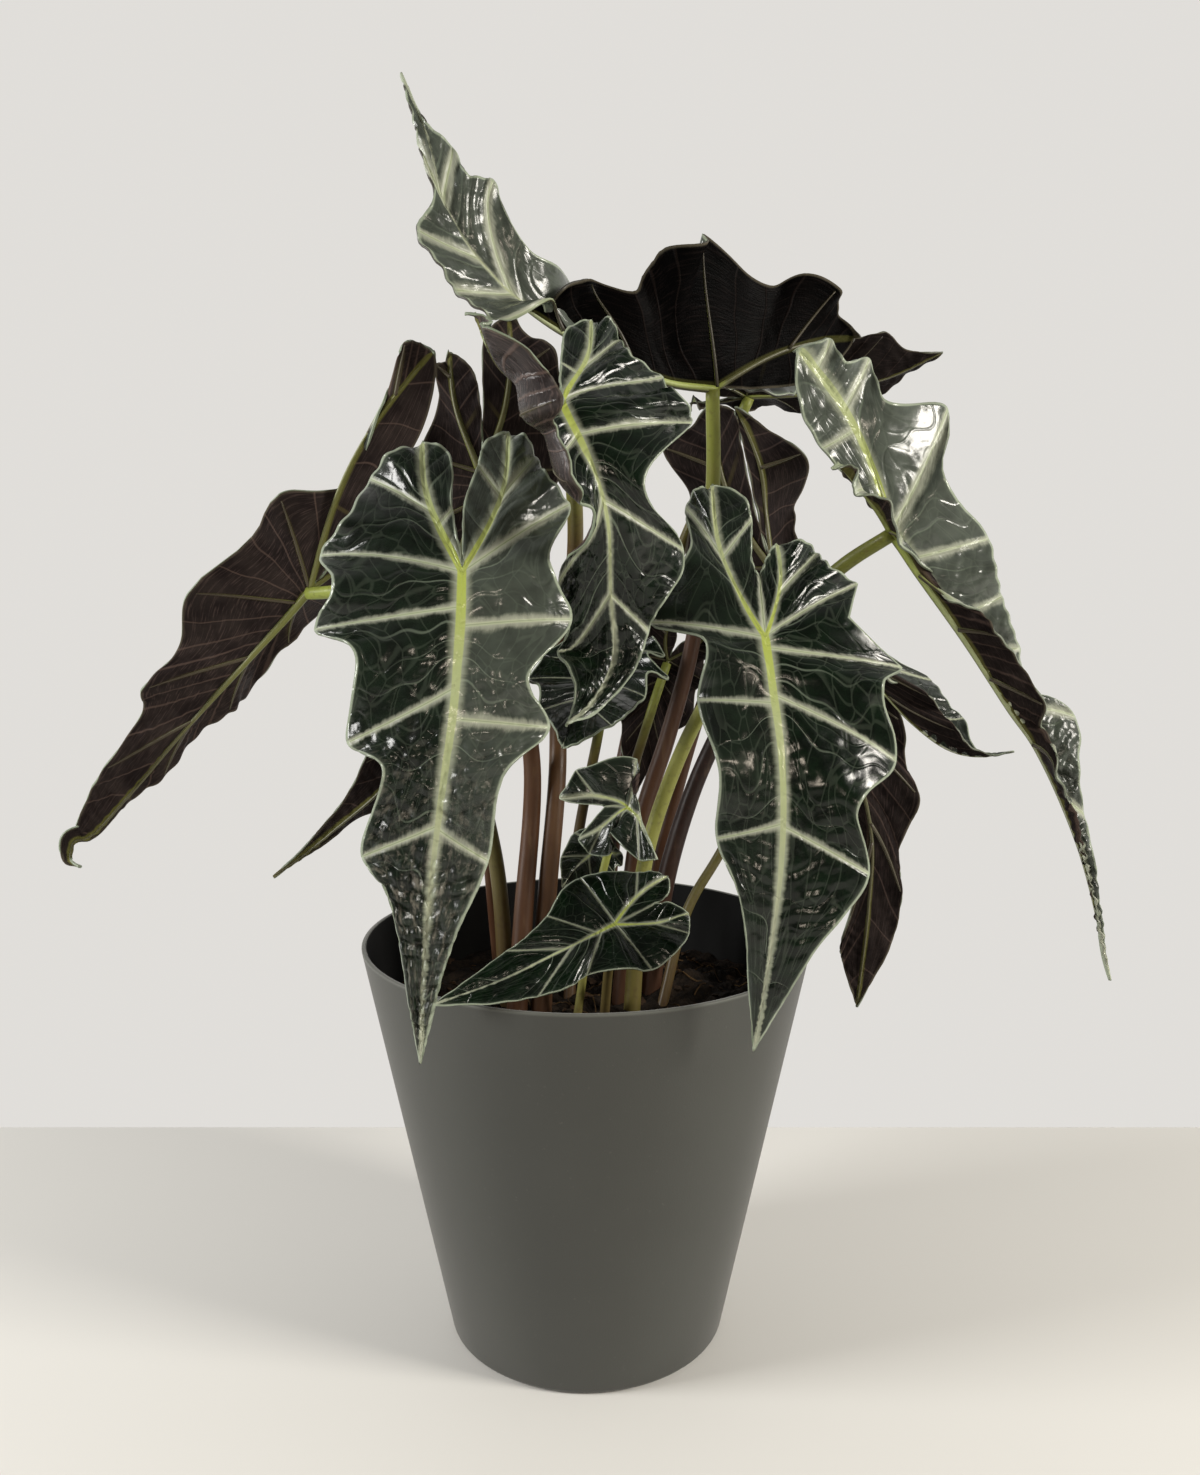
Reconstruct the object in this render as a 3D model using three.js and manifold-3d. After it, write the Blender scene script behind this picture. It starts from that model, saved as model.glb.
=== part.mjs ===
// Potted alocasia: arrow-shaped, wavy leaves on stalks that stand in the soil of a conical pot.
// Millimetres, +Z up, origin at the centre of the pot's flat underside, the plant's front towards -Y.
import * as THREE from "three";
import { mergeVertices } from "three/addons/utils/BufferGeometryUtils.js";
import Module from "manifold-3d";

const wasm = await Module();
wasm.setup();

// Driving dimensions
const POT_HEIGHT = 183;
const POT_RIM_RADIUS = 100;
const POT_FOOT_RADIUS = 62.5;
const POT_WALL = 2.4;
const POT_FLOOR = 4;
const POT_SIDES = 56;
const SOIL_TOP = 151;
const SOIL_ROUGHNESS = 1.6;
const BARK_CLUMP = { x: 46, y: 14, spread: 17, height: 8 };
const STALK_SIDES = 7;
const STALK_TAPER = 0.7;
const STEM_DEPTH = 28;
const JOINT_OFFSET = 1.5;
const CLEARANCE = 0.35;
const BLADE_THICKNESS = 0.9;
const RIB_HEIGHT = 2;
const WAVE = 4;
const QUILT = 2;

// How finely a blade is drawn: shares of the way from spine to rim, steps and samples along the spine
const ACROSS = [0, 0.12, 0.55, 1];
const SPINE_STEPS = 46;
const AXIS_SAMPLES = 240;

const UPPER_GREEN = 0x1d2b21;
const UNDER_PURPLE = 0x33282b;

// Turns a closed geometry into a solid, and a solid back into a geometry
function toSolid(geometry) {
  const bare = geometry.clone();
  bare.deleteAttribute("normal");
  bare.deleteAttribute("uv");
  const merged = mergeVertices(bare, 1e-4);
  return new wasm.Manifold(new wasm.Mesh({
    numProp: 3,
    vertProperties: new Float32Array(merged.attributes.position.array),
    triVerts: new Uint32Array(merged.index.array),
  }));
}

function toGeometry(solid) {
  const mesh = solid.getMesh();
  const geometry = new THREE.BufferGeometry();
  geometry.setAttribute("position", new THREE.BufferAttribute(new Float32Array(mesh.vertProperties), 3));
  geometry.setIndex(new THREE.BufferAttribute(new Uint32Array(mesh.triVerts), 1));
  geometry.computeVertexNormals();
  return geometry;
}

function point(values) {
  return new THREE.Vector3(...values);
}

// Pot: one closed profile turned about the upright axis
function potRadius(height) {
  return THREE.MathUtils.lerp(POT_FOOT_RADIUS, POT_RIM_RADIUS, height / POT_HEIGHT);
}

function potGeometry() {
  const inner = (height) => potRadius(height) - POT_WALL;
  const profile = [
    [0, 0],
    [POT_FOOT_RADIUS - 3.5, 0],
    [POT_FOOT_RADIUS - 1, 1],
    [potRadius(3.6), 3.6],
    [potRadius(POT_HEIGHT * 0.5), POT_HEIGHT * 0.5],
    [potRadius(POT_HEIGHT - 1.2), POT_HEIGHT - 1.2],
    [POT_RIM_RADIUS - 0.7, POT_HEIGHT - 0.2],
    [POT_RIM_RADIUS - 1.3, POT_HEIGHT],
    [POT_RIM_RADIUS - 2.2, POT_HEIGHT - 0.4],
    [inner(POT_HEIGHT - 2), POT_HEIGHT - 2],
    [inner(POT_FLOOR), POT_FLOOR],
    [0, POT_FLOOR],
  ].map(([radius, height]) => new THREE.Vector2(radius, height));
  return new THREE.LatheGeometry(profile, POT_SIDES).rotateX(Math.PI / 2);
}

// Soil: fills the pot, with a lumpy top and a clump of bark, and a plain hole for each stalk
function soilTop(x, y) {
  const lumps = Math.sin(x * 0.21 + 1.3) * Math.cos(y * 0.17) + 0.6 * Math.sin(x * 0.43 - y * 0.38);
  const clump = Math.exp(-((x - BARK_CLUMP.x) ** 2 + (y - BARK_CLUMP.y) ** 2) / BARK_CLUMP.spread ** 2);
  return SOIL_TOP + SOIL_ROUGHNESS * lumps + BARK_CLUMP.height * clump;
}

function soilGeometry() {
  const radiusAt = (height) => potRadius(height) - POT_WALL - CLEARANCE;
  const bottom = POT_FLOOR + CLEARANCE;
  const edge = radiusAt(SOIL_TOP);
  const shares = [1, 0.86, 0.7, 0.54, 0.38, 0.2, 0];
  const profile = [
    [0, bottom],
    [radiusAt(bottom), bottom],
    ...shares.map((share) => [share * edge, SOIL_TOP]),
  ].map(([radius, height]) => new THREE.Vector2(radius, height));
  const soil = new THREE.LatheGeometry(profile, POT_SIDES);
  soil.rotateX(Math.PI / 2);
  const corners = soil.attributes.position;
  for (let i = 0; i < corners.count; i += 1) {
    const inside = Math.hypot(corners.getX(i), corners.getY(i)) < edge * 0.95;
    if (corners.getZ(i) > SOIL_TOP - 1 && inside) {
      corners.setZ(i, soilTop(corners.getX(i), corners.getY(i)));
    }
  }
  return soil;
}

// Stalk: a round tube along a smooth path, thicker at its foot, from the soil up to the blade
function stalkPath(points) {
  const foot = point(points[0]);
  const next = point(points[1]);
  const down = foot.clone().sub(next).normalize();
  down.multiplyScalar(STEM_DEPTH / Math.max(0.5, -down.z));
  return new THREE.CatmullRomCurve3([foot.clone().add(down), ...points.map(point)], false, "centripetal");
}

function tubeGeometry(path, footRadius, topRadius, extra, steps) {
  const circle = new THREE.Shape();
  for (let i = 0; i < STALK_SIDES; i += 1) {
    const angle = (2 * Math.PI * i) / STALK_SIDES;
    circle[i === 0 ? "moveTo" : "lineTo"](Math.cos(angle), Math.sin(angle));
  }
  circle.closePath();
  const tube = new THREE.ExtrudeGeometry(circle, { steps, extrudePath: path, bevelEnabled: false });
  const centres = path.getSpacedPoints(steps);
  const corners = tube.attributes.position;
  const corner = new THREE.Vector3();
  for (let i = 0; i < corners.count; i += 1) {
    corner.fromBufferAttribute(corners, i);
    let ring = 0;
    centres.forEach((centre, k) => {
      if (centre.distanceTo(corner) < centres[ring].distanceTo(corner)) ring = k;
    });
    const along = ring / steps;
    const radius = THREE.MathUtils.lerp(footRadius, topRadius, along ** STALK_TAPER) + extra;
    corner.sub(centres[ring]).multiplyScalar(radius).add(centres[ring]);
    corners.setXYZ(i, corner.x, corner.y, corner.z);
  }
  return tube;
}

// Blade, drawn flat first: y runs along the midrib from the junction with the stalk (0) to the tip, x goes
// out to one side, and the back lobes lie at negative y. The rim of a half runs from the sinus on the inner
// side of the lobe to the lobe's end, and on through the ends of the veins to the tip. A vein is its root on
// the spine, the x and y of its end, and the x and y of each rim point between it and the next vein, most often
// one notch; the spine is the back vein and midrib. A rim point here is [root, x, y, veins passed since the lobe].
function halfRim(half, length) {
  const reach = Math.hypot(...half.lobe);
  const innerCount = half.inner.length + 1;
  const points = [[0, 0, half.sinus], ...half.inner.map(([x, y], i) => [(-reach * (i + 1)) / innerCount, x, y])];
  points.forEach((entry, i) => entry.push((i - innerCount) / 2));
  points.push([-reach, ...half.lobe, 0]);
  const [, firstX, firstY] = half.veins[0];
  let before = [-reach, ...half.lobe, (half.lobe[0] + firstX) / 2, (half.lobe[1] + firstY) / 2];
  [...half.veins, [length, 0, length]].forEach((vein, i) => {
    const between = before.slice(3);
    const spans = between.length / 2 + 1;
    for (let k = 1; k < spans; k += 1) {
      const root = THREE.MathUtils.lerp(before[0], vein[0], k / spans);
      points.push([root, between[2 * k - 2], between[2 * k - 1], i + k / spans]);
    }
    points.push([...vein.slice(0, 3), i + 1]);
    before = vein;
  });
  const curve = new THREE.CatmullRomCurve3(points.map((entry) => new THREE.Vector3(entry[1], entry[2], 0)),
    false, "centripetal");
  return { points, curve, innerCount };
}

function spinePoint(half, root) {
  if (root >= 0) return [0, root];
  const reach = Math.hypot(...half.lobe);
  const share = Math.min(1, -root / reach);
  const bow = (half.bow ?? 0.08) * reach * Math.sin(Math.PI * share);
  return [half.lobe[0] * share + bow, half.lobe[1] * share];
}

// Rows of flat points, each from its root on the spine out to the rim; vein is whole at each vein's end
function halfRows(half, length, detail) {
  const { points, curve, innerCount } = halfRim(half, length);
  const reach = Math.hypot(...half.lobe);
  const spans = points.length - 1;
  const step = length / SPINE_STEPS;
  const rows = [];
  for (let i = 0; i <= spans * detail; i += 1) {
    const place = i / detail;
    const k = Math.min(Math.floor(place), spans - 1);
    const exact = THREE.MathUtils.lerp(points[k][0], points[k + 1][0], place - k);
    const ends = Math.abs(exact - length) < 1e-6 || Math.abs(exact + reach) < 1e-6;
    const root = ends ? exact : THREE.MathUtils.clamp(Math.round(exact / step) * step, -reach, length);
    const spine = spinePoint(half, root);
    const rim = curve.getPoint(place / spans);
    const cells = ACROSS.map((w) => ({
      x: THREE.MathUtils.lerp(spine[0], rim.x, w),
      y: THREE.MathUtils.lerp(spine[1], rim.y, w),
      w,
      vein: THREE.MathUtils.lerp(points[k][3], points[k + 1][3], place - k),
      inner: place < innerCount,
    }));
    rows.push({ root, cells });
  }
  return rows;
}

// The blade's middle line in space, with the direction that its upper face looks at each place
function spaceAxis(leaf) {
  const control = [leaf.back, ...leaf.midrib].map(point);
  const curve = new THREE.CatmullRomCurve3(control, false, "centripetal");
  const count = AXIS_SAMPLES;
  const samples = curve.getPoints(count);
  const lengths = [0];
  for (let i = 1; i <= count; i += 1) lengths.push(lengths[i - 1] + samples[i].distanceTo(samples[i - 1]));
  const start = lengths[Math.round(count / (control.length - 1))];
  const length = lengths[count] - start;
  const faces = leaf.face.map(([share, ...direction]) => [share * length, point(direction).normalize()]);
  const at = (y) => {
    const target = y + start;
    let i = 1;
    while (i < count && lengths[i] < target) i += 1;
    const share = (target - lengths[i - 1]) / (lengths[i] - lengths[i - 1]);
    const origin = samples[i - 1].clone().lerp(samples[i], share);
    const before = samples[Math.max(0, i - 4)];
    const after = samples[Math.min(count, i + 3)];
    const along = after.clone().sub(before).normalize();
    const up = keyed(faces, y, (a, b, t) => a.clone().lerp(b, t));
    up.addScaledVector(along, -up.dot(along)).normalize();
    return { origin, along, up, side: along.clone().cross(up) };
  };
  return { length, at };
}

function keyed(keys, y, mix) {
  if (y <= keys[0][0]) return mix(keys[0][1], keys[0][1], 0);
  for (let i = 1; i < keys.length; i += 1) {
    if (y <= keys[i][0]) {
      const t = (y - keys[i - 1][0]) / (keys[i][0] - keys[i - 1][0]);
      return mix(keys[i - 1][1], keys[i][1], t * t * (3 - 2 * t));
    }
  }
  return mix(keys[keys.length - 1][1], keys[keys.length - 1][1], 0);
}

// Bends a flat point into space: fold is the half's angle at the midrib, curl its bend per 50 mm outwards
function bendPoint(axis, bends, cell, sign, leaf) {
  const frame = axis.at(cell.y);
  const bend = keyed(bends, cell.y, (a, b, t) => a.map((value, k) => THREE.MathUtils.lerp(value, b[k], t)));
  const fold = THREE.MathUtils.degToRad(sign > 0 ? bend[0] : bend[2]);
  const curl = THREE.MathUtils.degToRad(sign > 0 ? bend[1] : bend[3]) / 50 + 1e-6;
  const turned = fold + curl * cell.x;
  const out = (Math.sin(turned) - Math.sin(fold)) / curl;
  const rise = (Math.cos(fold) - Math.cos(turned)) / curl;
  const between = Math.sin(Math.PI * cell.vein) ** 2;
  const shape = cell.inner ? 0 : 4 * cell.w * (1 - cell.w);
  const tipward = THREE.MathUtils.clamp(1.15 - cell.y / axis.length, 0, 1);
  const edge = cell.inner ? 0 : cell.w ** 3 * Math.cos(2 * Math.PI * cell.vein);
  const lift = tipward * (QUILT * shape * between - (leaf.wave ?? WAVE) * edge);
  return frame.origin.clone()
    .addScaledVector(frame.side, sign * (out - lift * Math.sin(turned)))
    .addScaledVector(frame.up, rise + lift * Math.cos(turned));
}

// A sheet of welded points and triangles becomes a closed body of the blade's thickness, with a ridge below
function thicken(points, triangles, ridges) {
  const normals = points.map(() => new THREE.Vector3());
  const edges = new Map();
  triangles.forEach(([a, b, c]) => {
    const normal = points[b].clone().sub(points[a]).cross(points[c].clone().sub(points[a]));
    [a, b, c].forEach((corner) => normals[corner].add(normal));
    [[a, b], [b, c], [c, a]].forEach(([from, to]) => {
      if (edges.has(`${to},${from}`)) edges.delete(`${to},${from}`);
      else edges.set(`${from},${to}`, [from, to]);
    });
  });
  const count = points.length;
  const positions = [];
  points.forEach((place, i) => {
    const top = place.clone().addScaledVector(normals[i].normalize(), BLADE_THICKNESS / 2);
    positions.push(top.x, top.y, top.z);
  });
  points.forEach((place, i) => {
    const under = place.clone().addScaledVector(normals[i], -BLADE_THICKNESS / 2 - ridges[i]);
    positions.push(under.x, under.y, under.z);
  });
  const index = [];
  triangles.forEach(([a, b, c]) => index.push(a, b, c, count + a, count + c, count + b));
  edges.forEach(([from, to]) => index.push(to, from, count + from, to, count + from, count + to));
  const body = new THREE.BufferGeometry();
  body.setAttribute("position", new THREE.Float32BufferAttribute(positions, 3));
  body.setIndex(index);
  return body;
}

function bladeGeometry(leaf) {
  const axis = spaceAxis(leaf);
  const bends = leaf.bend.map(([share, ...angles]) => [share * axis.length, angles]);
  const points = [];
  const ridges = [];
  const known = new Map();
  const triangles = [];
  const vertex = (cell, sign) => {
    const key = `${(sign * cell.x).toFixed(2)},${cell.y.toFixed(2)}`.replace("-0.00", "0.00");
    if (!known.has(key)) {
      known.set(key, points.length);
      points.push(bendPoint(axis, bends, cell, sign, leaf));
      const thin = THREE.MathUtils.clamp(1 - Math.abs(cell.y) / axis.length, 0.1, 1);
      ridges.push(cell.w < 1e-6 ? RIB_HEIGHT * thin : 0);
    }
    return known.get(key);
  };
  const sides = [[1, leaf.left], [-1, leaf.right]].map(([sign, half]) => (
    { sign, half, rows: halfRows(half, axis.length, leaf.detail ?? 2) }
  ));
  const midribRoots = sides.flatMap(({ rows }) => rows.map((row) => row.root)).filter((root) => root >= 0);
  sides.forEach(({ sign, half, rows }) => {
    const roots = [...midribRoots, ...rows.map((row) => row.root).filter((root) => root < 0)];
    const add = (corners) => {
      const [a, b, c] = sign < 0 ? corners : [corners[0], corners[2], corners[1]];
      if (a !== b && b !== c && c !== a) triangles.push([a, b, c]);
    };
    for (let i = 0; i + 1 < rows.length; i += 1) {
      const [row, next] = [rows[i], rows[i + 1]];
      const [low, high] = [Math.min(row.root, next.root), Math.max(row.root, next.root)];
      const between = [...new Set(roots.filter((root) => root >= low && root <= high))].sort((m, n) => m - n);
      if (row.root > next.root) between.reverse();
      const spine = between.map((root) => {
        const [x, y] = spinePoint(half, root);
        return vertex({ x, y, w: 0, vein: 0, inner: false }, sign);
      });
      const fan = vertex(row.cells[1], sign);
      for (let k = 0; k + 1 < spine.length; k += 1) add([fan, spine[k], spine[k + 1]]);
      add([fan, spine[spine.length - 1], vertex(next.cells[1], sign)]);
      for (let j = 1; j + 1 < ACROSS.length; j += 1) {
        const [near, out] = [vertex(row.cells[j], sign), vertex(row.cells[j + 1], sign)];
        const [nextNear, nextOut] = [vertex(next.cells[j], sign), vertex(next.cells[j + 1], sign)];
        add([near, nextNear, nextOut]);
        add([near, nextOut, out]);
      }
    }
  });
  return thicken(points, triangles, ridges);
}

// A leaf is its blade and its stalk grown together
function stalkSolid(leaf, extra) {
  const { points, foot, top, steps } = leaf.stalk;
  const joint = spaceAxis(leaf).at(JOINT_OFFSET);
  const end = joint.origin.addScaledVector(joint.up, -0.35 * top);
  return toSolid(tubeGeometry(stalkPath([...points, end.toArray()]), foot, top, extra, steps ?? 12));
}

function leafSolid(leaf) {
  return toSolid(bladeGeometry(leaf)).add(stalkSolid(leaf, 0));
}

// The hole that a stalk stands in: the stalk's own form, a little wider and a little deeper
function holeSolid(leaf) {
  const wide = stalkSolid(leaf, 1.3 * CLEARANCE);
  return wide.add(wide.translate([0, 0, -1.5 * CLEARANCE]));
}

const leaves = [
  {
    name: "leaf_front_left",
    back: [-49, -64, 398],
    midrib: [[-43, -98, 347], [-45, -112, 303], [-51, -118, 258], [-57, -116, 208], [-60, -110, 168]],
    face: [[0, 0.05, -0.85, 0.5], [1, 0, -1, 0]],
    bend: [[-0.3, -8, -8, -8, -8], [0, -6, -10, -6, -10], [1, 5, -5, 5, -5]],
    left: { sinus: -3, inner: [[2.5, -27], [2.5, -54]], lobe: [12, -60],
      veins: [[-27, 34, -51, 42, -28], [0, 55, -20, 46, 3], [13, 56, 21, 37, 31],
        [42, 37, 67, 22, 73], [91, 26, 106, 15, 117]] },
    right: { sinus: -3, inner: [[1.8, -29], [8, -47], [12, -59]], lobe: [21, -64],
      veins: [[-34, 32, -56, 34, -40], [0, 43, -34, 31, -4.6], [20, 41, 13, 25, 37],
        [53, 35, 52, 21, 69], [92, 19, 102, 10, 133]] },
    stalk: { points: [[-31, -13, 151], [-28, -5, 195], [-24, 2, 260], [-32, -30, 314]], foot: 5.2, top: 3 },
  },
  {
    name: "leaf_front_right",
    back: [65, -52, 375],
    midrib: [[67, -86, 323], [72, -100, 280], [72, -105, 244], [67, -104, 196], [64, -98, 168]],
    face: [[0, 0, -0.85, 0.5], [1, 0, -1, 0]],
    bend: [[-0.3, -8, -8, -8, -8], [0, -6, -10, -6, -10], [1, 5, -5, 5, -5]],
    left: { sinus: -25, inner: [[2, -33], [0.8, -52], [2.9, -63]], lobe: [15, -70],
      veins: [[-38, 26, -64, 25, -39], [0, 43, -14, 22, 0.4], [25, 28, 19, 23, 49],
        [69, 24, 76, 14, 98]] },
    right: { sinus: -25, inner: [[4, -35]], lobe: [8, -41],
      veins: [[-18, 26, -41, 27, -30], [0, 41, -28, 32, -7], [4, 55, 14, 41, 23],
        [22, 45, 48, 27, 63], [70, 33, 86, 17, 112]] },
    stalk: { points: [[20, -15, 151], [25, -8, 213], [32, -6, 241], [48, -20, 285]], foot: 4, top: 2.8 },
  },
  {
    name: "leaf_centre",
    back: [-10, -72, 433],
    midrib: [[-7, -95, 406], [0, -99, 391], [6, -100, 376], [9, -97, 362], [10, -85, 339], [11, -79, 314],
      [2, -92, 298], [-6, -102, 293]],
    face: [[-0.3, 0.2, -0.8, 0.6], [0, 0.25, -0.9, 0.3], [0.8, 0, -1, 0.1], [1, 0, -0.6, 0.8]],
    bend: [[-0.22, -12, 35, 0, -10], [-0.1, -10, 100, 0, -15], [0.05, -10, 170, 0, -20],
      [0.2, -5, 200, 0, -20], [0.3, 0, 290, 0, -20], [0.44, -22, 60, -5, -20], [0.6, -10, 10, 0, -5],
      [0.8, 0, 0, 0, 0]],
    left: { sinus: -2, inner: [[14, -4], [28, -8]], lobe: [41, -16],
      veins: [[-18, 44, -6, 46, 3], [0, 47, 10, 34, 13], [13, 32, 30, 10, 41], [37, 19, 71, 16, 82],
        [74, 21, 104, 9, 119]] },
    right: { sinus: -2, inner: [[1, -20], [4.1, -39]], lobe: [14, -46],
      veins: [[-20, 26, -42, 27, -27], [0, 42, -28, 44, 15], [13, 50, 20, 15, 36],
        [37, 30, 64, 18, 81], [74, 13, 91, 9, 101]] },
    stalk: { points: [[-20, -11, 151], [-18, -2, 195], [-13, 8, 255], [-13, 30, 300], [-5, 2, 350],
      [-5, -60, 391]], foot: 5, top: 3 },
  },
  {
    name: "leaf_top",
    color: UNDER_PURPLE,
    back: [92, 5, 417],
    midrib: [[54, -15, 421], [32, -24, 423], [11, -32, 432], [-10, -40, 440], [-33, -50, 456],
      [-51, -54, 480], [-59, -50, 508], [-69, -42, 533]],
    face: [[0, 0, -0.3, 0.95], [0.3, 0, -0.4, 0.9], [0.55, 0.3, -0.9, 0.3], [1, 0.2, -0.95, 0.2]],
    bend: [[-0.3, 25, 0, 95, 5], [0.2, 25, 0, 100, 5], [0.38, 20, 0, 130, 10], [0.52, 8, 0, 20, 0],
      [1, 5, 0, 5, 0]],
    left: { sinus: -3, inner: [[2, -20], [5, -42]], lobe: [34, -54],
      veins: [[-35, 44, -40, 40, -24], [0, 54, 4, 42, 30], [38, 36, 56, 18, 96],
        [94, 21, 141, 12, 144], [136, 9, 156, 1.8, 166]] },
    right: { sinus: -3, inner: [[2, -20], [11, -49]], lobe: [30, -64],
      veins: [[-35, 48, -49, 51, -34, 44, -21, 49, -1.5], [0, 57, 15, 47, 44, 36, 47, 25, 49],
        [38, 23, 67, 14, 79, 2.6, 80], [70, 17, 92, 22, 101], [94, 19, 110, 20, 119],
        [112, 16, 130, 4.3, 138], [136, 3.5, 158, 2.8, 171]] },
    stalk: { points: [[16, 4, 151], [24, 14, 228], [37, 14, 272], [47, 10, 313], [54, -2, 376]],
      foot: 5, top: 2.9, steps: 15 },
  },
  {
    name: "leaf_right",
    back: [84, -42, 403],
    midrib: [[124, -34, 362], [136, -32, 346], [157, -30, 318], [178, -27, 288], [190, -25, 272],
      [212, -22, 227], [231, -16, 167]],
    face: [[0, 0.05, -0.95, 0.3], [1, 0.1, -0.95, 0.2]],
    bend: [[-0.1, 75, 0, 0, 0], [0.06, 80, 0, 0, 0], [0.2, 125, 10, 0, 0], [0.42, 130, 10, 0, 0],
      [0.55, 80, 0, 0, 0], [1, 20, 0, 0, 0]],
    left: { sinus: -3, inner: [[1, -16], [3, -30]], lobe: [9, -38],
      veins: [[-22, 14, -26, 13, -14], [0, 16, 2, 0.8, 27], [22, 8, 37, 11, 50],
        [50, 15, 59, 13, 75], [75, 15, 95, 5.8, 106], [110, 17, 120, 4, 145]] },
    right: { sinus: -3, inner: [[0.8, -22], [0.8, -44], [5.7, -62]], lobe: [21, -78],
      veins: [[-70, 36, -71, 31, -62], [-50, 43, -54, 33, -39], [0, 55, -16, 30, -1],
        [14, 35, 30, 26, 40], [45, 25, 52, 19, 60], [60, 19, 74, 10, 84], [90, 23, 112, 12, 129],
        [135, 8, 150, 3.7, 172]] },
    stalk: { points: [[29, 8, 151], [36, 14, 202], [47, 15, 242], [58, 12, 270], [80, 0, 316],
      [106, -20, 347]], foot: 5.2, top: 2.9, steps: 16 },
  },
  {
    name: "leaf_left",
    color: UNDER_PURPLE,
    back: [-54, -6, 419],
    midrib: [[-123, 15, 337], [-152, 22, 307], [-185, 27, 273], [-214, 30, 241], [-234, 28, 221],
      [-240, 27, 220], [-240, 22, 212], [-233, 17, 210]],
    face: [[0, -0.3, 0.85, 0.45], [1, -0.4, 0.8, 0.4]],
    bend: [[-0.5, 10, 0, 10, 0], [-0.1, 25, 0, 8, 0], [0.1, 35, 0, 5, 0], [1, 20, 0, 5, 0]],
    left: { sinus: -4, inner: [[1, -25], [3, -50]], lobe: [12, -68],
      veins: [[-40, 22, -50, 20, -28], [0, 27, -4, 26, 10], [10, 11, 30, 24, 67],
        [45, 14, 75, 13, 97], [88, 8, 119, 5.2, 138]] },
    right: { sinus: -4, inner: [[1, -40], [3, -90]], lobe: [18, -118],
      veins: [[-95, 30, -115, 24, -97], [-75, 22, -85, 14, -48], [0, 36, -31, 33, -4.8],
        [8, 41, 32, 26, 61], [43, 28, 84, 20, 94], [85, 18, 129, 13, 148]] },
    stalk: { points: [[-36, 0, 151], [-42, 8, 220], [-62, 6, 290], [-95, 4, 334]], foot: 4.2, top: 2.8 },
  },
  {
    name: "leaf_behind_left",
    color: UNDER_PURPLE,
    detail: 1,
    back: [-47, 34, 438],
    midrib: [[-48, 28, 389], [-66, 32, 323], [-89, 38, 253], [-122, 42, 221], [-152, 45, 198]],
    face: [[0, -0.1, 0.9, 0.3], [1, -0.4, 0.8, 0.4]],
    bend: [[-0.3, 10, 0, 10, 0], [1, 20, 0, 10, 0]],
    left: { sinus: -4, inner: [[0.6, -34], [2, -62]], lobe: [12, -70],
      veins: [[-44, 32, -58, 38, -40], [0, 38, -6, 32, 10], [14, 36, 36, 26, 56],
        [60, 30, 86, 20, 100], [120, 16, 150, 8, 176]] },
    right: { sinus: -4, inner: [[0.6, -30], [4.1, -46]], lobe: [14, -53],
      veins: [[-44, 20, -47, 20, -35], [0, 27, -4, 25, 10], [14, 28, 36, 22, 56],
        [60, 26, 86, 20, 100], [120, 16, 150, 8, 176]] },
    stalk: { points: [[-42, 36, 151], [-46, 26, 220], [-48, 16, 310]], foot: 3.4, top: 2.6 },
  },
  {
    name: "leaf_back_right",
    color: UNDER_PURPLE,
    detail: 1,
    back: [67, 46, 422],
    midrib: [[86, 42, 346], [119, 58, 282], [141, 66, 216], [142, 70, 176], [138, 72, 122]],
    face: [[0, 0.2, 0.9, 0.3], [1, 0.1, 1, 0]],
    bend: [[-0.25, 0, 0, 0, 0], [-0.1, 55, 0, 5, 0], [0.25, 50, 0, 5, 0], [0.4, 10, 0, 5, 0],
      [1, 5, 0, 5, 0]],
    left: { sinus: -4, inner: [[0.4, -30], [0.4, -58]], lobe: [0.6, -75],
      veins: [[-46, 26, -48, 30, -28], [0, 17, -8, 23, 8], [12, 31, 34, 24, 56],
        [60, 28, 96, 24, 118], [85, 26, 133, 14, 156], [140, 16, 178, 14, 203]] },
    right: { sinus: -4, inner: [[0.4, -30], [0.4, -58], [0.4, -74]], lobe: [10, -79],
      veins: [[-50, 36, -66, 30, -42], [0, 38, -10, 30, 10], [15, 36, 34, 26, 54],
        [60, 28, 84, 16, 104], [100, 17, 128, 3, 160], [150, 12, 207, 10, 216]] },
    stalk: { points: [[22, 24, 151], [34, 32, 210], [60, 34, 300]], foot: 4.2, top: 2.7 },
  },
  {
    name: "leaf_behind_top",
    color: UNDER_PURPLE,
    detail: 1,
    back: [48, 52, 423],
    midrib: [[74, 56, 425], [109, 60, 427], [141, 62, 434], [167, 64, 446]],
    face: [[0, 0.1, 0.6, 0.8], [1, 0, 0.6, 0.8]],
    bend: [[-0.3, 10, 0, 10, 0], [1, 25, 0, 25, 0]],
    left: { sinus: -3, inner: [[2, -16]], lobe: [12, -30],
      veins: [[-18, 22, -24, 20, -12], [0, 27, 4, 22, 16], [12, 27, 45, 23, 54], [36, 23, 70, 9, 81]] },
    right: { sinus: -3, inner: [[2, -16]], lobe: [2.8, -26],
      veins: [[-18, 2.9, -22, 11, -10], [0, 7, 0.7, 16, 16], [12, 12, 28, 18, 45],
        [36, 14, 69, 9, 82]] },
    stalk: { points: [[6, 44, 151], [14, 60, 235], [40, 68, 340]], foot: 4, top: 2.5 },
  },
  {
    name: "leaf_low_right",
    detail: 1,
    back: [100, 28, 329],
    midrib: [[114, 30, 313], [133, 30, 294], [151, 31, 275], [169, 32, 262], [183, 31, 259], [198, 28, 262]],
    face: [[0, 0.3, -0.7, 0.7], [1, 0.3, -0.7, 0.7]],
    bend: [[-0.3, 120, 0, 10, 0], [0.6, 120, 0, 10, 0], [1, 60, 0, 10, 0]],
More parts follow.
